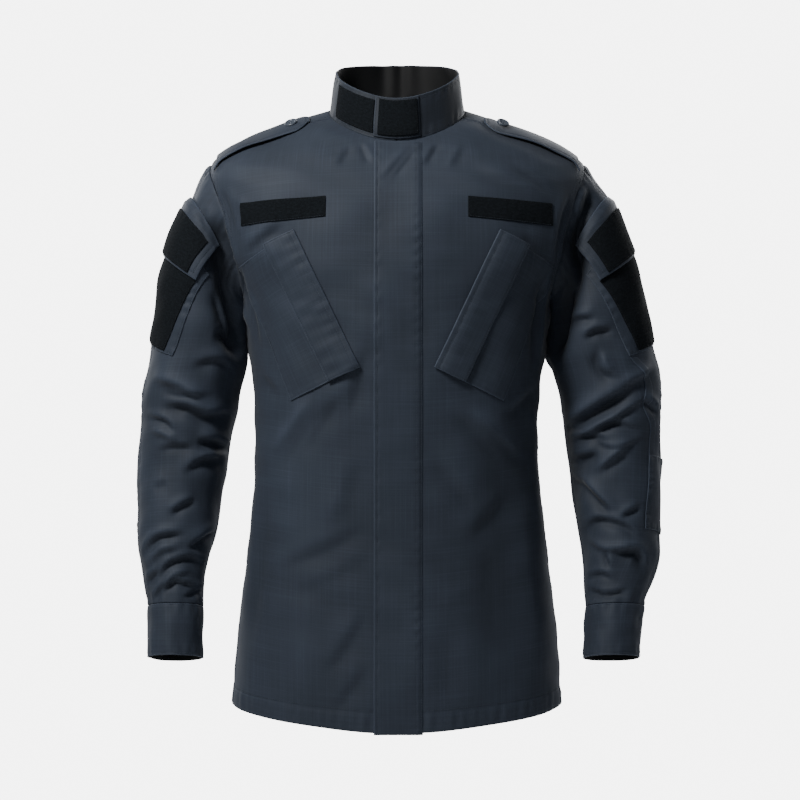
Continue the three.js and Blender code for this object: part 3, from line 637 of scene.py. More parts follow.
def make_piece(name, node, plain, creased, inside, kind="cloth", thick=CLOTH, lift=0.0,
               relief=None, finished=True, roll=None, wrapped=False, held="hung", rests_on=(),
               sign=1):
    """A closed wall of cloth over grids of plain and creased points. inside: a point that it
    faces away from. sign: -1 for what is worked out on the left and worn on the right."""
    margins = Margins(plain, wrapped)
    middle = plain.shape[0] // 2, plain.shape[1] // 2
    outward = 1 if grid_normals(plain, 1)[middle] @ (plain[middle] - np.array(inside)) > 0 else -1
    if wrapped:
        lapped = np.concatenate([creased[:, -1:], creased, creased[:, :1]], axis=1)
        normals = grid_normals(lapped, outward)[:, 1:-1]
    else:
        normals = grid_normals(creased, outward)
    distance = margins.nearest
    radius = roll if roll is not None else thick
    if finished:
        body = rolled(distance, radius)
    else:
        body = 1 - 0.45 * (1 - np.clip(distance / CUT_EDGE, 0, 1)) ** 2
    low = lift(margins) if callable(lift) else np.full_like(distance, lift)
    high = low + thick * body
    if relief is not None:
        high = high + relief(margins)
    outer = creased + normals * high[..., None]
    inner = creased + normals * np.minimum(low, high - 0.3 * thick)[..., None]
    vertices = np.concatenate([outer.reshape(-1, 3), inner.reshape(-1, 3)])
    rows, columns = plain.shape[:2]
    faces = wall_faces(rows, columns, wrapped)
    vertices[:, 0] *= sign
    if outward * sign < 0:
        faces = [f[::-1] for f in faces]
    uv = np.stack([margins.across, margins.up], axis=-1).reshape(-1, 2)
    # a lighter line along finished edges: edge wear, and a painted highlight where the rim catches the
    # light
    edge = np.clip(1 - distance / EDGE_WEAR_HIGHLIGHT_WIDTH, 0, 1) if finished else np.zeros_like(distance)
    # painted shade on the inner layer, except within 2 mm of a finished piece's top edge
    away_from_rim = np.clip(margins.top / 0.002, 0, 1).ravel() if finished else 1.0
    # painted light where the creases push the cloth out, and painted shade in their troughs
    plain_normals = grid_normals(plain, outward)
    pushed_out = ((creased - plain) * plain_normals).sum(axis=-1).ravel()
    fading = np.clip(pushed_out / FOLD_PAINT_DEPTH, MOST_PAINTED_SHADE, MOST_PAINTED_LIGHT)
    marks = {"edge": np.concatenate([edge.ravel(), edge.ravel()]),
             "fading": np.concatenate([fading, fading]),
             "reverse": np.concatenate([np.zeros(edge.size), np.ones(edge.size) * away_from_rim])}
    made = mesh_object(name, vertices, faces, np.concatenate([uv, uv]), marks)
    made.data.materials.append(MATERIALS[kind])
    width, length = margins.width, margins.height
    if wrapped:
        width += np.linalg.norm(plain[:, -1] - plain[:, 0], axis=-1).max()
    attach(made, "root")
    if node:
        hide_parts(node)
    return made


# ------------------------------------------------------------------ stitches

STITCH_PITCH, STITCH_LENGTH, THREAD = 0.0032, 0.0024, 0.00024
THREAD_SIDES = 4
STITCHES = {}


def sew(group, surface, outward, u, v, lift, sign=1):
    """A row of stitches along places (u, v) of a surface, standing off it by lift."""
    u, v = np.broadcast_arrays(np.asarray(u, float), np.asarray(v, float))
    normals = normals_of(surface, u, v, outward)
    line = (surface(u, v) + normals * np.broadcast_to(lift, u.shape)[..., None]) * (sign, 1, 1)
    normals = normals * (sign, 1, 1)
    length = np.concatenate([[0], np.cumsum(np.linalg.norm(np.diff(line, axis=0), axis=1))])
    count = int(length[-1] / STITCH_PITCH)
    if count < 1:
        return
    start = (np.arange(count) + 0.5) * length[-1] / count - STITCH_LENGTH / 2

    def at(distance, values):
        return np.stack([np.interp(distance, length, values[:, k]) for k in range(3)], axis=-1)

    STITCHES.setdefault(group, []).append(
        (at(start, line), at(start + STITCH_LENGTH, line), unit(at(start, normals))))


def thread_mesh(name, rows):
    """Each stitch is a short thread, low at both ends where it enters the cloth."""
    starts, ends, normals = (np.concatenate(part) for part in zip(*rows))
    along = ends - starts
    aside = unit(np.cross(along, normals))
    turns = (np.arange(THREAD_SIDES) + 0.5) * 2 * math.pi / THREAD_SIDES
    rings = []
    for part, radius, rise in ((0.0, 0.5, -0.8), (0.5, 1.1, 0.2), (1.0, 0.5, -0.8)):
        centre = starts + along * part + normals * (rise * THREAD)
        ring = [centre + (aside * math.cos(t) + normals * math.sin(t)) * radius * THREAD
                for t in turns]
        rings.append(np.stack(ring, axis=1))
    vertices = np.stack(rings, axis=1).reshape(-1, 3)
    faces = []
    for k in range(len(starts)):
        base = k * len(rings) * THREAD_SIDES
        last = base + (len(rings) - 1) * THREAD_SIDES
        for first in range(base, last, THREAD_SIDES):
            for i in range(THREAD_SIDES):
                a, b = first + i, first + (i + 1) % THREAD_SIDES
                faces.append((a, a + THREAD_SIDES, b + THREAD_SIDES, b))
        faces.append(tuple(base + i for i in range(THREAD_SIDES)))
        faces.append(tuple(last + i for i in reversed(range(THREAD_SIDES))))
    made = mesh_object(name, vertices, faces)
    made.data.materials.append(MATERIALS["dark_thread" if name == "stitches_tapes" else "thread"])
    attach(made, "root")
    return made

# ------------------------------------------------------------------ materials


class Shading:
    """A material's nodes, and the few steps that the cloths share."""

    def __init__(self, name):
        self.material = bpy.data.materials.new(name)
        self.material.use_nodes = True
        self.nodes, self.links = self.material.node_tree.nodes, self.material.node_tree.links
        self.shader = self.nodes["Principled BSDF"]

    def grain(self):
        node = self.nodes.new("ShaderNodeUVMap")
        node.uv_map = "grain"
        return node.outputs[0]

    def mark(self, name):
        node = self.nodes.new("ShaderNodeAttribute")
        node.attribute_name = name
        return node.outputs["Fac"]

    def math(self, operation, *values):
        node = self.nodes.new("ShaderNodeMath")
        node.operation = operation
        for socket, value in zip(node.inputs, values):
            if isinstance(value, (int, float)):
                socket.default_value = value
            else:
                self.links.new(value, socket)
        return node.outputs[0]

    def sum_of(self, first, *others):
        for other in others:
            first = self.math("ADD", first, other)
        return first

    def streaks(self, grain, scale, detail=2.0):
        """Noise stretched along one way of the grain; scale is waves a metre, (across, up)."""
        mapping = self.nodes.new("ShaderNodeMapping")
        mapping.inputs["Scale"].default_value = (*scale, 1.0)
        self.links.new(grain, mapping.inputs["Vector"])
        noise = self.nodes.new("ShaderNodeTexNoise")
        noise.inputs["Scale"].default_value = 1.0
        noise.inputs["Detail"].default_value = detail
        self.links.new(mapping.outputs[0], noise.inputs["Vector"])
        return noise.outputs["Fac"]

    def colour(self, colour, shade):
        tint = self.nodes.new("ShaderNodeVectorMath")
        tint.operation = "SCALE"
        tint.inputs[0].default_value = colour
        self.links.new(shade, tint.inputs["Scale"])
        self.links.new(tint.outputs[0], self.shader.inputs["Base Color"])

    def bump(self, height, strength, distance):
        bump = self.nodes.new("ShaderNodeBump")
        bump.inputs["Strength"].default_value = strength
        bump.inputs["Distance"].default_value = distance
        self.links.new(height, bump.inputs["Height"])
        self.links.new(bump.outputs[0], self.shader.inputs["Normal"])

    def finish(self, values):
        for name, value in values.items():
            self.shader.inputs[name].default_value = value
        return self.material


def cloth_material(name, colour, light_edge=0.6):
    """Ripstop: a fine plain weave with slubs, and a thicker thread every 5 mm both ways."""
    shading = Shading(name)
    math_of, grain = shading.math, shading.grain()
    split = shading.nodes.new("ShaderNodeSeparateXYZ")
    shading.links.new(grain, split.inputs[0])

    def grid_line(axis):
        saw = math_of("FRACT", math_of("DIVIDE", split.outputs[axis], RIPSTOP_SQUARE))
        from_line = math_of("ABSOLUTE", math_of("SUBTRACT", saw, 0.5))
        return math_of("GREATER_THAN", from_line, 0.44)

    def times(value, amount):
        return math_of("MULTIPLY", value, amount)

    ripstop = math_of("MAXIMUM", grid_line(0), grid_line(1))
    slubs = shading.sum_of(*(math_of("POWER", shading.streaks(grain, scale), 4.0)
                             for scale in ((1100, 9), (9, 1100))))
    wide = shading.streaks(grain, (330, 5))
    patchy = shading.streaks(grain, (9, 9), 3.0)
    weave = shading.streaks(grain, (2600, 2600), 1.0)
    # the edge mark lightens finished edges: edge wear, and a painted highlight
    shade = shading.sum_of(times(slubs, 0.9), times(wide, 0.16), times(patchy, 0.35),
                           times(weave, 0.25), times(ripstop, 0.012), 0.36,
                           times(shading.mark("edge"), light_edge))
    # painted shade on the inner layer
    shade = times(shade, math_of("SUBTRACT", 1.0, times(shading.mark("reverse"), INSIDE_PAINTED_DARKENING)))
    # painted light on the creases' ridges, and painted shade in their troughs
    shade = times(shade, math_of("POWER", FOLD_PAINT_STEP, shading.mark("fading")))
    shading.colour(colour, shade)
    shading.bump(shading.sum_of(times(slubs, 0.5), times(weave, 0.35), times(ripstop, 0.05)),
                 0.35, 0.00012)
    return shading.finish({"Roughness": 0.68, "Specular IOR Level": 0.42, "Sheen Weight": 0.10,
                           "Sheen Roughness": 0.45})


def loop_material():
    """The soft side of hook-and-loop tape: short matted loops."""
    shading = Shading("loop_tape")
    grain = shading.grain()
    fuzz = shading.streaks(grain, (900, 900), 4.0)
    tufts = shading.streaks(grain, (260, 420))
    height = shading.math("ADD", fuzz, shading.math("MULTIPLY", tufts, 0.6))
    shading.colour(LOOP_COLOUR, shading.math("MULTIPLY", shading.math("POWER", height, 2.0), 0.9))
    shading.bump(height, 0.8, 0.0006)
    return shading.finish({"Roughness": 0.95, "Specular IOR Level": 0.2})


def plain_material(name, colour, roughness, specular=0.4):
    return Shading(name).finish({"Base Color": (*colour, 1.0), "Roughness": roughness,
                                 "Specular IOR Level": specular})


RIPSTOP_SQUARE = 0.0052
FOLD_PAINT_STEP = 1.22  # painted light on the ridges, painted shade in the troughs: the factor for each step
INSIDE_PAINTED_DARKENING = 0.93  # painted shade on each piece's inner face: the part of its colour taken away
NAVY = (0.045, 0.060, 0.090)
SHADED_COLLAR_NAVY = (0.029, 0.038, 0.056)  # the navy darkened for the collar: painted shade
LOOP_COLOUR = (0.0150, 0.0200, 0.0260)
MATERIALS["cloth"] = cloth_material("ripstop", NAVY)
# the collar: a darker copy of the cloth as painted shade, with a stronger lighter edge line
MATERIALS["collar"] = cloth_material("collar_ripstop", SHADED_COLLAR_NAVY, 1.1)
MATERIALS["loop"] = loop_material()
MATERIALS["thread"] = plain_material("thread", (0.062, 0.078, 0.104), 0.6)
MATERIALS["dark_thread"] = plain_material("dark_thread", (0.012, 0.015, 0.020), 0.7)
MATERIALS["button"] = plain_material("button_plastic", (0.110, 0.130, 0.165), 0.28, 0.6)

# ------------------------------------------------------------------ the panels

BODY_INSIDE, SLEEVE_INSIDE = (0, 0, -0.4), (0.25, 0, -0.4)  # the outer faces turn from these
FRONT_WIDTH, BACK_WIDTH = 0.27, 0.56  # roughly, to space the points
SLEEVE_LENGTH, SLEEVE_FRONT_WIDTH, SLEEVE_BACK_WIDTH = 0.56, 0.19, 0.23
BACK_STEP = PANEL_STEP * 1.15  # hidden in the front view, so a little coarser
ARMHOLE_ROWS = 54
SEAM_STITCHES = (0.0021, 0.0078)  # two rows of stitches along each flat-felled seam
SEAM_EDGE = (0.0006, 0.0013, 0.0021, 0.0030, 0.0045, 0.0068, 0.0078, 0.0086, 0.0096)
HEM_EDGE = (0.0007, 0.0016, 0.0040, 0.0080, 0.0130, 0.0180, 0.0205, 0.0216, 0.0226, 0.0236,
            0.0248)
HEM_STITCH = 0.0226


def hem_relief(distance, along, seed):
    doubled = 0.0006 * (1 - smooth_step(distance, 0.0205, 0.0236))
    edge = -0.0005 * np.clip(1 - distance / 0.0016, 0, 1) ** 2
    folds = pucker(distance, along, 0.012, seed, 0.0009, 0.010, 0.017)
    return doubled + edge + folds + groove(distance, HEM_STITCH, 0.0004)


def seam_relief(distance, along, seed):
    return (groove(distance, SEAM_STITCHES[0]) + groove(distance, SEAM_STITCHES[1], 0.0003)
            + pucker(distance, along, 0.004, seed))


def shoulder_rows():
    """Heights of the rows above the armhole, evenly spaced along the shoulder."""
    side = np.linspace(SHOULDER_POINT, NECK, 400)
    line = body_point(80.0, side)
    length = np.concatenate([[0], np.cumsum(np.linalg.norm(np.diff(line, axis=0), axis=1))])
    count = int(length[-1] / PANEL_STEP)
    return np.interp(np.linspace(0, length[-1], count + 1), length, side)


def body_rows():
    """Rows from the hem up: their height at the panel's edge, and in its middle."""
    below = HEM + (ARMPIT - HEM) * laid_out(ARMPIT - HEM, PANEL_STEP, HEM_EDGE, end=False)
    turn = np.linspace(0, math.pi, ARMHOLE_ROWS + 1)[1:-1]
    round_edge = ARMHOLE_MIDDLE - ARMHOLE_HALF_HEIGHT * np.cos(turn)
    round_middle = mix(ARMPIT, SHOULDER_POINT, turn / math.pi)
    above = shoulder_rows()
    return (np.concatenate([below, round_edge, above]),
            np.concatenate([below, round_middle, above]))


def panel_edge(side, towards_back):
    sign = 1 if towards_back else -1
    gap = np.degrees(sign * SEAM_GAP / 2 / BODY_CURVES["width"](side))
    side_seam = mix(SIDE_SEAM_AT_HEM, 90, (side - HEM) / (ARMPIT - HEM))
    shoulder = mix(90, SHOULDER_SEAM_AT_NECK, (side - SHOULDER_POINT) / (NECK - SHOULDER_POINT))
    rise = np.clip((side - ARMHOLE_MIDDLE) / ARMHOLE_HALF_HEIGHT, -1, 1)
    armhole = 90 + sign * (ARMHOLE_HALF_TURN + 0.12) * np.sqrt(1 - rise * rise)
    degrees = np.where(side <= ARMPIT, side_seam, np.where(side >= SHOULDER_POINT, shoulder,
                                                           armhole))
    return degrees + gap


EDGE_ROWS, MIDDLE_ROWS = body_rows()
across = laid_out(FRONT_WIDTH, PANEL_STEP, SEAM_EDGE, start=False)
for name, sign in (("left", 1), ("right", -1)):
    edge = panel_edge(EDGE_ROWS, False)[:, None]
    centre = np.degrees(SEAM_GAP / BODY_CURVES["depth_front"](EDGE_ROWS))[:, None]
    s = across[None, :]
    degrees = sign * mix(centre, edge, s)
    side = mix(MIDDLE_ROWS[:, None], EDGE_ROWS[:, None], s ** 2)
    make_piece(
        f"front_{name}", f"front_{name}", body_point(degrees, side), creased_body(degrees, side),
        BODY_INSIDE, lift=-CLOTH, finished=False,
        relief=lambda m: hem_relief(m.bottom, m.across, 3) + seam_relief(m.right, m.up, 5))

edge = panel_edge(EDGE_ROWS, True)[:, None]
s = laid_out(BACK_WIDTH, BACK_STEP, SEAM_EDGE)[None, :]
degrees = mix(edge, 360 - edge, s)
side = mix(MIDDLE_ROWS[:, None], EDGE_ROWS[:, None], (2 * s - 1) ** 2)
make_piece("back", "back", body_point(degrees, side), creased_body(degrees, side), BODY_INSIDE,
           lift=-CLOTH, finished=False,
           relief=lambda m: hem_relief(m.bottom, m.across, 7) + seam_relief(m.left, m.up, 8)
           + seam_relief(m.right, m.up, 9))

SEAM_TURN = 0.1  # half the gap between the sleeve's two panels, in degrees round it
for name, sign in (("left", 1), ("right", -1)):
    plain, creased = PLAIN_SLEEVE[name], SLEEVE[name]
    rows = mix(CUFF_TOP, ARMHOLE_AT,
               laid_out(SLEEVE_LENGTH, SLEEVE_STEP, (0.0008, 0.002, 0.004)))[:, None]
    for part, (first, last, breadth) in {
        "front": (OUTER_SEAM + SEAM_TURN, INNER_SEAM - SEAM_TURN, SLEEVE_FRONT_WIDTH),
        "back": (INNER_SEAM + SEAM_TURN, 360 + OUTER_SEAM - SEAM_TURN, SLEEVE_BACK_WIDTH),
    }.items():
        turns = mix(first, last, laid_out(breadth, SLEEVE_STEP, SEAM_EDGE))[None, :]
        outer_side, inner_side = ("left", "right") if part == "front" else ("right", "left")
        make_piece(
            f"sleeve_{part}_{name}", f"sleeve_{part}_{name}", plain(turns, rows),
            creased(turns, rows), SLEEVE_INSIDE, lift=-CLOTH, finished=False, sign=sign,
            relief=lambda m, a=outer_side, b=inner_side: seam_relief(getattr(m, a), m.up, 13)
            + groove(getattr(m, b), SEAM_STITCHES[0]) - 0.0005 * np.clip(1 - m.top / 0.002, 0, 1)
            + pucker(m.top, m.across, 0.006, 17, 0.0007, 0.007, 0.013)
            + pucker(m.bottom, m.across, 0.004, 19, 0.0008, 0.010, 0.014))

    turns = np.arange(0, 360, 2.0)[None, :]
    rows = mix(CUFF_END, CUFF_TOP - 0.0005,
               laid_out(0.062, 0.0025, (0.0005, 0.0010, 0.0018, 0.0028, 0.0050)))[:, None]
    cuff_plain = plain(turns, rows)
    swell = ripples(cuff_plain, 41 if name == "left" else 43, ((0.05, 0.0010), (0.022, 0.0005)))
    away = normals_of(plain, *np.broadcast_arrays(turns, rows), -1)
    fade = smooth_step(CUFF_TOP - rows, 0, 0.02)
    make_piece(f"cuff_{name}", f"cuff_{name}", cuff_plain,
               cuff_plain + away * (swell * fade)[..., None], (0.265, -0.05, -0.65), thick=0.0016,
               lift=-0.0009, wrapped=True, sign=sign, roll=0.0009,
               relief=lambda m: groove(m.bottom, 0.0028) + groove(m.top, 0.0018)
               + pucker(m.top, m.across, 0.006, 21, 0.0005, 0.008, 0.012)
               + pucker(m.bottom, m.across, 0.006, 22, 0.0005, 0.008, 0.015))

# ------------------------------------------------------------------ what is sewn on the body

EDGE_STITCH, TAPE_STITCH, FLAP_STITCH, STRAP_STITCH = 0.0018, 0.0016, 0.0060, 0.0048
STITCH_SUNK = 0.0001  # how deep a stitch lies in the face of a patch
PATCH_EDGE = (0.0003, 0.0007, 0.0012, 0.0018, 0.0026)
FLAP_EDGE = PATCH_EDGE + (0.0040, 0.0052, 0.0060, 0.0068)


def body_place(axes, wanted, guess):
    """Places (degrees, side) on the plain body that have two wanted coordinates, by Newton."""
    u, v = (np.array(g, float) for g in guess)
    step_u, step_v = 0.01, 1e-5
    for _ in range(30):
        here, along, up = body_point(u, v), body_point(u + step_u, v), body_point(u, v + step_v)
        miss = [here[..., k] - w for k, w in zip(axes, wanted)]
        a, b = ((along - here)[..., k] / step_u for k in axes)
        c, d = ((up - here)[..., k] / step_v for k in axes)
        det = a * d - b * c
        u = u - np.clip((miss[0] * d - miss[1] * c) / det, -8, 8)
        v = np.clip(v - np.clip((miss[1] * a - miss[0] * b) / det, -0.02, 0.02), HEM - 0.01, NECK)
    return u, v


def inside_corners(corners, s, t):
    a, b, c, d = (np.array(corner, float) for corner in corners)
    return [mix(mix(a[k], b[k], s), mix(d[k], c[k], s), t) for k in (0, 1)]


class Sewn:
    """A flat piece on a surface: place(s, t) gives (u, v) there, s and t from 0 to 1."""

    def __init__(self, name, plain, creased, facing, place, inside, thick, lift, sign=1,
                 edge=PATCH_EDGE, step=PATCH_STEP, **extra):
        corners = plain(*place(np.array([0, 1, 0.0]), np.array([0, 0, 1.0])))
        self.width = np.linalg.norm(corners[1] - corners[0])
        self.height = np.linalg.norm(corners[2] - corners[0])
        s = laid_out(self.width, step, edge)[None, :]
        t = laid_out(self.height, step, edge)[:, None]
        s, t = np.broadcast_arrays(s, t)
        u, v = place(s, t)
        self.name, self.creased, self.facing, self.place = name, creased, facing, place
        self.thick, self.lift, self.sign = thick, lift, sign
        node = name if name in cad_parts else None
        make_piece(name, node, plain(u, v), creased(u, v), inside, thick=thick, lift=lift,
                   sign=sign, **extra)

    def stitch(self, group, side, distance):
        """A row of stitches along one side, at a distance inside it."""
        along = np.linspace(0, 1, 160)
        across, length = ((self.width, self.height) if side in ("left", "right")
                          else (self.height, self.width))
        place = np.full_like(along, distance / across)
        along = mix(EDGE_STITCH / length, 1 - EDGE_STITCH / length, along)
        if side in ("right", "top"):
            place = 1 - place
        s, t = (place, along) if side in ("left", "right") else (along, place)
        if callable(self.lift):
            low = self.lift(SimpleNamespace(
                left=s * self.width, right=(1 - s) * self.width,
                bottom=t * self.height, top=(1 - t) * self.height))
        else:
            low = self.lift
        sew(group, self.creased, self.facing, *self.place(s, t), low + self.thick - STITCH_SUNK,
            self.sign)

    def stitch_round(self, group, distance=EDGE_STITCH):
        for side in ("left", "right", "top", "bottom"):
            self.stitch(group, side, distance)


def all_round(distance, seed, depth=0.0003, gathered=0.0003):
    """The relief of a piece sewn down all round at a distance inside its edge."""
    def relief(m):
        total = groove(m.nearest, distance, depth)
        for number, (gap, along) in enumerate(((m.left, m.up), (m.right, m.up),
                                               (m.bottom, m.across), (m.top, m.across))):
            total = total + pucker(gap, along, 0.004, seed + number, gathered)
        return total
    return relief


PLACKET_THICK, PLACKET_LIFT, PLACKET_SEWN_LIFT = 0.0016, 0.0008, 0.0001
PLACKET_STITCHES = {"left": (0.0042,), "right": (EDGE_STITCH, 0.0078), "bottom": (0.0200,)}
low_end = body_point(0, HEM)[2] - PLACKET_BELOW_HEM
high_end = COLLAR_SEAM["front"] - 0.0016


def placket_place(s, t):
    x = mix(PLACKET_FREE, PLACKET_SEWN, s)
    z = mix(low_end, high_end, t)
    x, z = np.broadcast_arrays(x, z)
    return body_place((0, 2), (x, z), (x / 0.003, np.minimum(z, -0.04)))


def placket_relief(m):
    waves = 0.0007 * np.sin(m.up / 0.031 + 1.4 * np.sin(m.up / 0.083)) * np.exp(
        -((m.left - 0.030) / 0.018) ** 2)
    return (groove(m.left, PLACKET_STITCHES["left"][0])
            + sum(groove(m.right, distance, 0.0002) for distance in PLACKET_STITCHES["right"])
            + pucker(m.left, m.up, 0.004, 51, 0.0004, pitch=0.016)
            + pucker(m.right, m.up, 0.006, 52, 0.0004, pitch=0.013) + waves
            + groove(m.bottom, PLACKET_STITCHES["bottom"][0], 0.0004)
            - 0.0008 * (1 - smooth_step(m.right, 0.0, 0.0060)))


def placket_lift(m):
    return mix(PLACKET_SEWN_LIFT, PLACKET_LIFT, smooth_step(m.right, 0.001, 0.008))


placket = Sewn("placket", body_point, creased_body, 1, placket_place, BODY_INSIDE,
               PLACKET_THICK, placket_lift, step=PLACKET_STEP, rests_on=("front_left", "front_right"),
               edge=PATCH_EDGE + (0.0034, 0.0042, 0.0050, 0.0068, 0.0078, 0.0088),
               relief=placket_relief)
for side, distances in PLACKET_STITCHES.items():
    for distance in distances:
        placket.stitch("stitches_front", side, distance)


def chest_place(corners, sign):
    def place(s, t):
        x, z = inside_corners(corners, s, t)
        degrees, side = body_place((0, 2), (x, z), (x / 0.003, np.minimum(z, -0.06)))
        return sign * degrees, side
    return place


POCKET_THICK, FLAP_THICK, TAPE_THICK = 0.0011, 0.0018, 0.0012
POCKET_LIFT, TAPE_LIFT = 0.0005, 0.0004
CHEST_FLAP_SEWN_LIFT, CHEST_FLAP_LIFT = 0.0019, 0.0040
CHEST_FLAP_STITCHES = {"right": FLAP_STITCH, "left": EDGE_STITCH, "bottom": EDGE_STITCH,
                       "top": EDGE_STITCH}


def chest_flap_lift(m):
    return mix(CHEST_FLAP_SEWN_LIFT, CHEST_FLAP_LIFT, smooth_step(m.right, 0.001, 0.016))


for name, sign in (("left", 1), ("right", -1)):
    front = f"front_{name}"
    tape = Sewn(f"name_tape_{name}", body_point, creased_body, 1, chest_place(NAME_TAPE, sign),
                BODY_INSIDE, TAPE_THICK, TAPE_LIFT, kind="loop", rests_on=(front,), held="laid",
                relief=all_round(TAPE_STITCH, 60))
    for side in ("left", "right", "top"):
        tape.stitch("stitches_tapes", side, TAPE_STITCH)
    tape.stitch("stitches_front", "bottom", 0.0010)
    pocket = Sewn(f"chest_pocket_{name}", body_point, creased_body, 1,
                  chest_place(CHEST_POCKET, sign), BODY_INSIDE, POCKET_THICK, POCKET_LIFT,
                  rests_on=(front,), held="laid", step=POCKET_STEP, edge=FLAP_EDGE,
                  relief=lambda m: all_round(EDGE_STITCH, 70)(m)
                  + 0.0016 * smooth_step(m.nearest, 0.004, 0.030)
                  + 0.0008 * np.sin(m.up / 0.016 + m.across / 0.021))
    pocket.stitch_round("stitches_front")

    flap = Sewn(f"chest_flap_{name}", body_point, creased_body, 1, chest_place(CHEST_FLAP, sign),
                BODY_INSIDE, FLAP_THICK, chest_flap_lift, rests_on=(f"chest_pocket_{name}",),
                edge=FLAP_EDGE,
                relief=lambda m: sum(groove(getattr(m, side), distance)
                                     for side, distance in CHEST_FLAP_STITCHES.items())
                + pucker(m.left, m.up, 0.012, 81, 0.0006, 0.012, 0.017)
                + pucker(m.right, m.up, 0.010, 82, 0.0004, 0.010, 0.015))
    for side, distance in CHEST_FLAP_STITCHES.items():
        flap.stitch("stitches_front", side, distance)

# ------------------------------------------------------------------ what is sewn on the sleeves


def sleeve_place(corners):
    return lambda s, t: inside_corners(corners, s, t)


SLEEVE_POCKET_LIFT, PANEL_LIFT, ELBOW_LIFT = 0.0006, 0.0021, 0.0005
SLEEVE_FLAP_SEWN_LIFT, SLEEVE_FLAP_LIFT = 0.0008, 0.0046
FLAP_PANEL_LIFT = SLEEVE_FLAP_LIFT + FLAP_THICK + 0.0006
UPPER_ARM, ELBOW, FOREARM_TOP = (0.24, 0, -0.22), (0.27, 0, -0.48), (0.24, 0, -0.37)
FLAP_STIFFNESS = 0.35  # how much of the sleeve's creases its flap follows
SEAM_ALLOWANCE = 9.5  # degrees round the sleeve that a topstitched seam's turned edge covers
for name, sign in (("left", 1), ("right", -1)):
    plain, creased = PLAIN_SLEEVE[name], SLEEVE[name]
    group = f"stitches_sleeve_{name}"
    sleeves = (f"sleeve_front_{name}", f"sleeve_back_{name}")

    stiff = stiffened(plain, creased, FLAP_STIFFNESS)

    def sewn(part, corners, thick, lift, inside=UPPER_ARM, bed=creased, **extra):
        return Sewn(f"{part}_{name}", plain, bed, -1, sleeve_place(corners), inside, thick,
                    lift, sign=sign, **extra)

    pocket = sewn("sleeve_pocket", SLEEVE_POCKET, POCKET_THICK, SLEEVE_POCKET_LIFT,
                  rests_on=sleeves, held="laid", step=POCKET_STEP, edge=FLAP_EDGE,
                  relief=all_round(EDGE_STITCH, 90, gathered=0.0006))
    pocket.stitch_round(group)
    panel = sewn("sleeve_pocket_panel", SLEEVE_POCKET_PANEL, TAPE_THICK, PANEL_LIFT, kind="loop",
                 rests_on=(f"sleeve_pocket_{name}",), held="laid", step=POCKET_STEP,
                 relief=all_round(TAPE_STITCH, 95))
    panel.stitch_round("stitches_tapes", TAPE_STITCH)
    flap = sewn("sleeve_flap", SLEEVE_FLAP, FLAP_THICK,
                lambda m: mix(SLEEVE_FLAP_SEWN_LIFT, SLEEVE_FLAP_LIFT,
                              smooth_step(m.top, 0.0, 0.009)),
                rests_on=(f"sleeve_pocket_{name}",), edge=FLAP_EDGE, bed=stiff,
                relief=lambda m: groove(m.nearest, FLAP_STITCH)
                + pucker(m.bottom, m.across, 0.002, 101, 0.0003, 0.005, 0.020)
                + pucker(m.left, m.up, 0.002, 102, 0.0003, 0.005, 0.018))
    flap.stitch_round(group, FLAP_STITCH)
    patch = sewn("sleeve_flap_panel", SLEEVE_FLAP_PANEL, TAPE_THICK, FLAP_PANEL_LIFT,
                 kind="loop", rests_on=(f"sleeve_flap_{name}",), held="laid", bed=stiff,
                 relief=all_round(TAPE_STITCH, 105))
    patch.stitch_round("stitches_tapes", TAPE_STITCH)
    elbow = sewn("elbow_patch", ELBOW_PATCH[name], POCKET_THICK, ELBOW_LIFT, ELBOW,
                 rests_on=sleeves, held="laid", relief=all_round(EDGE_STITCH, 110, gathered=0.0006))
    elbow.stitch_round(group)

    heights = np.linspace(CUFF_TOP + 0.004, ARMHOLE_AT - 0.004, 400)
    for turn in (OUTER_SEAM + 1.8, OUTER_SEAM + 6.4):
        sew(group, creased, -1, np.full_like(heights, turn), heights, -0.0002, sign)
    if name == "left":  # the seam from the pocket's lower corner to the elbow patch
        seam_path = smooth_curve(np.array([-0.434, -0.399, -0.366, -0.337, -0.307]),
                                 np.array([52.0, 50.0, 60.0, 54.0, 66.0]))

        def seam_place(s, t):
            at = mix(-0.433, -0.308, t)
            return seam_path(at) + SEAM_ALLOWANCE * (s - 1), at

        seam = Sewn("sleeve_seam_left", plain, creased, -1, seam_place, FOREARM_TOP, CLOTH,
                    0.0001, rests_on=("sleeve_front_left",), held="laid", step=SEAM_STEP)
        seam.stitch(group, "right", 0.0012)
    round_turns = np.arange(0, 360.5, 1.0)
    for height in (CUFF_TOP - 0.0023, CUFF_END + 0.0028):
        sew(group, plain, -1, round_turns, np.full_like(round_turns, height), 0.0004, sign)

# ------------------------------------------------------------------ the collar

COLLAR_LIFT, COLLAR_THICK = -0.0009, 0.0016
COLLAR_TUCK = -0.016  # its lower edge goes just past the neck seam


def creased_collar(degrees, up):
    degrees, up = np.broadcast_arrays(np.asarray(degrees, float), np.asarray(up, float))
    points = collar_point(degrees, up)
    normals = normals_of(collar_point, degrees, up, 1, step_v=0.004)
    behind = smooth_step(np.cos(np.radians(degrees)), 0.2, -0.6)
    swell = ripples(points, 61, ((0.09, 0.0010), (0.035, 0.0005)))
    turn = np.radians(degrees)
    swell = swell + behind * 0.0016 * np.sin(turn * 11 + 2 * np.sin(turn * 4)) * (0.4 + 0.6 * up)
    return points + normals * (swell * smooth_step(up, 0.0, 0.3))[..., None]


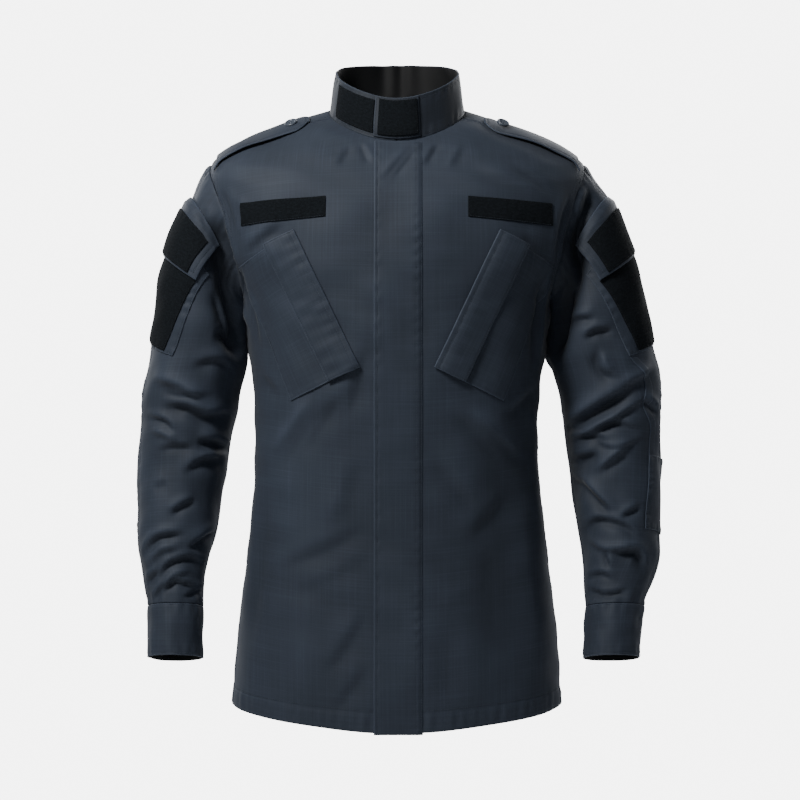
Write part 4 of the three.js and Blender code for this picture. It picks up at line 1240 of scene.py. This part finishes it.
degrees = np.linspace(0.25, 359.75, 190)[None, :]
up = mix(COLLAR_TUCK, 1.0,
         laid_out(0.052, 0.0024, (0.0004, 0.0009, 0.0014, 0.0024, 0.0050)))[:, None]
degrees, up = np.broadcast_arrays(degrees, up)
make_piece("collar", "collar", collar_point(degrees, up), creased_collar(degrees, up),
           (0, 0, 0), kind="collar", thick=COLLAR_THICK, lift=COLLAR_LIFT, roll=0.0010,
           relief=lambda m: groove(m.top, 0.0050, 0.0003) + groove(m.bottom, 0.0030, 0.0003)
           + pucker(m.top, m.across, 0.006, 121, 0.0004, 0.006)
           + pucker(m.bottom, m.across, 0.006, 122, 0.0005, 0.008))
turns = np.linspace(24, 356, 700)
for up_at in (0.905, 0.065):
    sew("stitches_front", creased_collar, 1, turns, np.full_like(turns, up_at), 0.0006)


def collar_piece(name, first, last, low, high, thick, lift, **extra):
    def place(s, t):
        return np.broadcast_arrays(mix(first, last, s), mix(low, high, t))
    return Sewn(name, collar_point, creased_collar, 1, place, (0, 0, 0), thick, lift, **extra)


tab = collar_piece("collar_tab", -21.5, 21.5, 0.03, 0.985, 0.0016, 0.0013,
                   kind="collar", rests_on=("collar",), edge=FLAP_EDGE,
                   relief=lambda m: groove(m.nearest, EDGE_STITCH)
                   + 0.0006 * smooth_step(m.nearest, 0.002, 0.012))
tab.stitch_round("stitches_front")
on_tab = collar_piece("collar_tab_patch", -17.5, 19.5, 0.09, 0.92, TAPE_THICK, 0.0037,
                      kind="loop", rests_on=("collar_tab",), held="laid",
                      relief=all_round(TAPE_STITCH, 130))
on_tab.stitch_round("stitches_tapes", TAPE_STITCH)
side_patch = collar_piece("collar_loop_patch", -65.0, -22.2, 0.10, 0.88, TAPE_THICK, 0.0010,
                          kind="loop", rests_on=("collar",), held="laid",
                          relief=all_round(TAPE_STITCH, 135))
side_patch.stitch_round("stitches_tapes", TAPE_STITCH)

# ------------------------------------------------------------------ the shoulder straps


def strap_place(s, t):
    s, t = np.broadcast_arrays(np.asarray(s, float), np.asarray(t, float))
    x = mix(EPAULETTE["outer"], EPAULETTE["tip"], t)
    into_round = np.maximum(0, 1 - (x - EPAULETTE["tip"]) / EPAULETTE["half_width"])
    half = EPAULETTE["half_width"] * np.sqrt(np.maximum(0.12, 1 - into_round ** 2.6))
    y = EPAULETTE["middle_line"] + half * (2 * s - 1)
    return body_place((0, 1), (x, y), (np.full_like(x, 90.0), np.full_like(x, -0.05)))


def strap_rise(t):
    return 0.0011 + EPAULETTE["rise"] * np.sin(math.pi * np.minimum(1, t * 1.25)) ** 0.8


BUTTON_LEAN = np.array((0.0, -0.26, 0.0))  # its thread is slack, and it tips to the front
BUTTON_THREAD = 0.0016  # how far the middle of its back stands off the strap
BUTTON_RADIUS, BUTTON_HOLE, HOLE_PLACES = 0.0080, 0.0010, (-0.0017, 0.0017)
BUTTON_RINGS, BUTTON_SPOKES = 30, 72
STRAP_THICK = 0.0018
for name, sign in (("left", 1), ("right", -1)):
    def creased_strap_bed(degrees, side, sign=sign):
        return creased_body(sign * degrees, side) * (sign, 1, 1)

    strap = Sewn(f"epaulette_{name}", body_point, creased_strap_bed, 1, strap_place,
                 (0.17, 0, -0.3), STRAP_THICK,
                 lambda m: strap_rise(m.bottom / (m.bottom + m.top)), sign=sign, edge=FLAP_EDGE,
                 rests_on=(f"front_{name}", "back"), roll=0.0012,
                 relief=lambda m: groove(m.nearest, STRAP_STITCH, 0.0004)
                 + 0.0004 * np.sin(m.up / 0.011) * smooth_step(m.nearest, 0, 0.01))
    strap.stitch_round("stitches_front", STRAP_STITCH)

    t = (EPAULETTE["outer"] - EPAULETTE["tip"] - BUTTON_FROM_TIP) / (
        EPAULETTE["outer"] - EPAULETTE["tip"])
    u, v = strap_place(0.5, t)
    seat, facing = body_point(u, v), normals_of(body_point, u, v, 1)
    facing = unit(facing + BUTTON_LEAN)
    side_way = unit(np.cross((0, 1, 0), facing))
    turn = np.stack([side_way, np.cross(facing, side_way), facing], axis=1)
    rings, spokes, radius = BUTTON_RINGS, BUTTON_SPOKES, BUTTON_RADIUS
    r = np.concatenate([np.linspace(0, radius * 0.99, rings), [radius, radius, radius * 0.93]])
    profile = np.interp(r[:rings] / radius, (0, 0.55, 0.68, 0.80, 0.92, 0.99),
                        (0.0018, 0.0018, 0.0023, 0.0031, 0.0030, 0.0023))
    height = np.concatenate([profile, [0.0018, 0.0007, 0.0]])
    spin = np.linspace(0, 2 * math.pi, spokes, endpoint=False)
    x, y = r[:, None] * np.cos(spin), r[:, None] * np.sin(spin)
    z = np.repeat(height[:, None], spokes, axis=1)
    for hole_x in HOLE_PLACES:
        for hole_y in HOLE_PLACES:
            away = np.hypot(x - hole_x, y - hole_y)
            z[:rings] -= (0.0016 * smooth_step(BUTTON_HOLE - away, 0.0, 0.0003))[:rings]
    flat = np.stack([x, y, z], axis=-1).reshape(-1, 3)
    flat = np.concatenate([flat, [(0, 0, 0)]])
    faces = [(j * spokes + i, (j + 1) * spokes + i, (j + 1) * spokes + (i + 1) % spokes,
              j * spokes + (i + 1) % spokes) for j in range(1, len(r) - 1) for i in range(spokes)]
    faces += [(0, spokes + i, spokes + (i + 1) % spokes) for i in range(spokes)]
    last = (len(r) - 1) * spokes
    faces += [(last + (i + 1) % spokes, last + i, len(flat) - 1) for i in range(spokes)]
    base = seat + facing * (float(strap_rise(t)) + STRAP_THICK + BUTTON_THREAD)
    placed = (flat @ turn.T + base) * (sign, 1, 1)
    if sign < 0:
        faces = [f[::-1] for f in faces]
    button = mesh_object(f"button_{name}", placed, faces)
    button.data.materials.append(MATERIALS["button"])
    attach(button, "root")
    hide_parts(f"epaulette_button_{name}")
    rows = []
    for y in HOLE_PLACES:
        for slip in (-0.00025, 0.00025):
            ends = np.array([(-0.0018, y + slip, 0.0016), (0.0018, y + slip, 0.0016)])
            ends = (ends @ turn.T + base) * (sign, 1, 1)
            rows.append((ends[:1], ends[1:], (facing * (sign, 1, 1))[None, :]))
    STITCHES.setdefault("stitches_front", []).extend(rows)

# ------------------------------------------------------------------ seams and hem

hem_turns = np.linspace(0, 360, 1400)
sew("stitches_front", creased_body, 1, hem_turns, np.full_like(hem_turns, HEM + HEM_STITCH), 0.0001)
for sign in (1, -1):
    below = np.linspace(HEM + 0.026, ARMPIT - 0.004, 300)
    above = np.linspace(SHOULDER_POINT + 0.001, NECK - 0.001, 120)
    for stretch in (below, above):
        for inset in SEAM_STITCHES:
            turns = panel_edge(stretch, True) + np.degrees(inset / BODY_CURVES["width"](stretch))
            sew("stitches_back", creased_body, 1, sign * turns, stretch, -0.0001)
    round_turns = np.linspace(-150, 150, 300)
    degrees, side = armhole_place(round_turns)
    for inset in (0.003, 0.009):
        grown = 1 + inset / ARMHOLE_HALF_HEIGHT
        turns = 90 + (degrees - 90) * grown
        heights = ARMHOLE_MIDDLE + (side - ARMHOLE_MIDDLE) * grown
        sew("stitches_back", creased_body, 1, sign * turns, heights, 0.0001)

for group, rows in STITCHES.items():
    thread_mesh(group, rows)

# ------------------------------------------------------------------ the stage

CAMERA_AT = (0.00375, -2.78, -0.36)
scene = bpy.context.scene
camera = bpy.data.objects.new("camera", bpy.data.cameras.new("camera"))
camera.data.lens, camera.data.sensor_width = 100.0, 36.0
camera.location = CAMERA_AT
camera.rotation_euler = (math.pi / 2, 0, 0)
scene.collection.objects.link(camera)
scene.camera = camera


def area_light(name, at, towards, size, power, colour):
    data = bpy.data.lights.new(name, "AREA")
    data.shape, data.size, data.energy, data.color = "DISK", size, power, colour
    lamp = bpy.data.objects.new(name, data)
    lamp.location = at
    way = np.array(towards, float) - np.array(at, float)
    lamp.rotation_euler = (math.acos(-way[2] / np.linalg.norm(way)), 0,
                           math.atan2(way[1], way[0]) - math.pi / 2)
    scene.collection.objects.link(lamp)


area_light("key", (-1.00, -1.15, 1.08), (-0.01, 0, -0.14), 0.55, 31, (1.0, 0.99, 0.97))
area_light("fill", (-0.4, -2.8, 0.3), (0, 0, -0.40), 1.6, 2.5, (0.93, 0.96, 1.0))
area_light("side", (2.2, 0.85, 0.55), (0.2, 0, -0.35), 1.4, 7, (0.95, 0.97, 1.0))
area_light("back_left", (1.3, 2.2, 0.9), (0.05, 0, -0.30), 1.6, 46, (0.97, 0.98, 1.0))
area_light("back_right", (-1.6, 1.9, 0.6), (-0.1, 0, -0.30), 1.6, 28, (0.97, 0.98, 1.0))

world = bpy.data.worlds.new("world")
scene.world = world
world.use_nodes = True
nodes, links = world.node_tree.nodes, world.node_tree.links
nodes.clear()
seen, felt = nodes.new("ShaderNodeBackground"), nodes.new("ShaderNodeBackground")
seen.inputs["Color"].default_value, seen.inputs["Strength"].default_value = (1, 1, 1, 1), 6.0
felt.inputs["Color"].default_value, felt.inputs["Strength"].default_value = (0.88, 0.94, 1, 1), 0.07
path, pick = nodes.new("ShaderNodeLightPath"), nodes.new("ShaderNodeMixShader")
out = nodes.new("ShaderNodeOutputWorld")
links.new(path.outputs["Is Camera Ray"], pick.inputs[0])
links.new(felt.outputs[0], pick.inputs[1])
links.new(seen.outputs[0], pick.inputs[2])
links.new(pick.outputs[0], out.inputs[0])

bpy.ops.mesh.primitive_cylinder_add(vertices=96, radius=2.6, depth=0.02, location=(0, 0, -1.46))
floor = bpy.context.object
floor.name = "studio_floor"
floor.data.materials.append(plain_material("pale_floor", (0.75, 0.75, 0.75), 0.8))
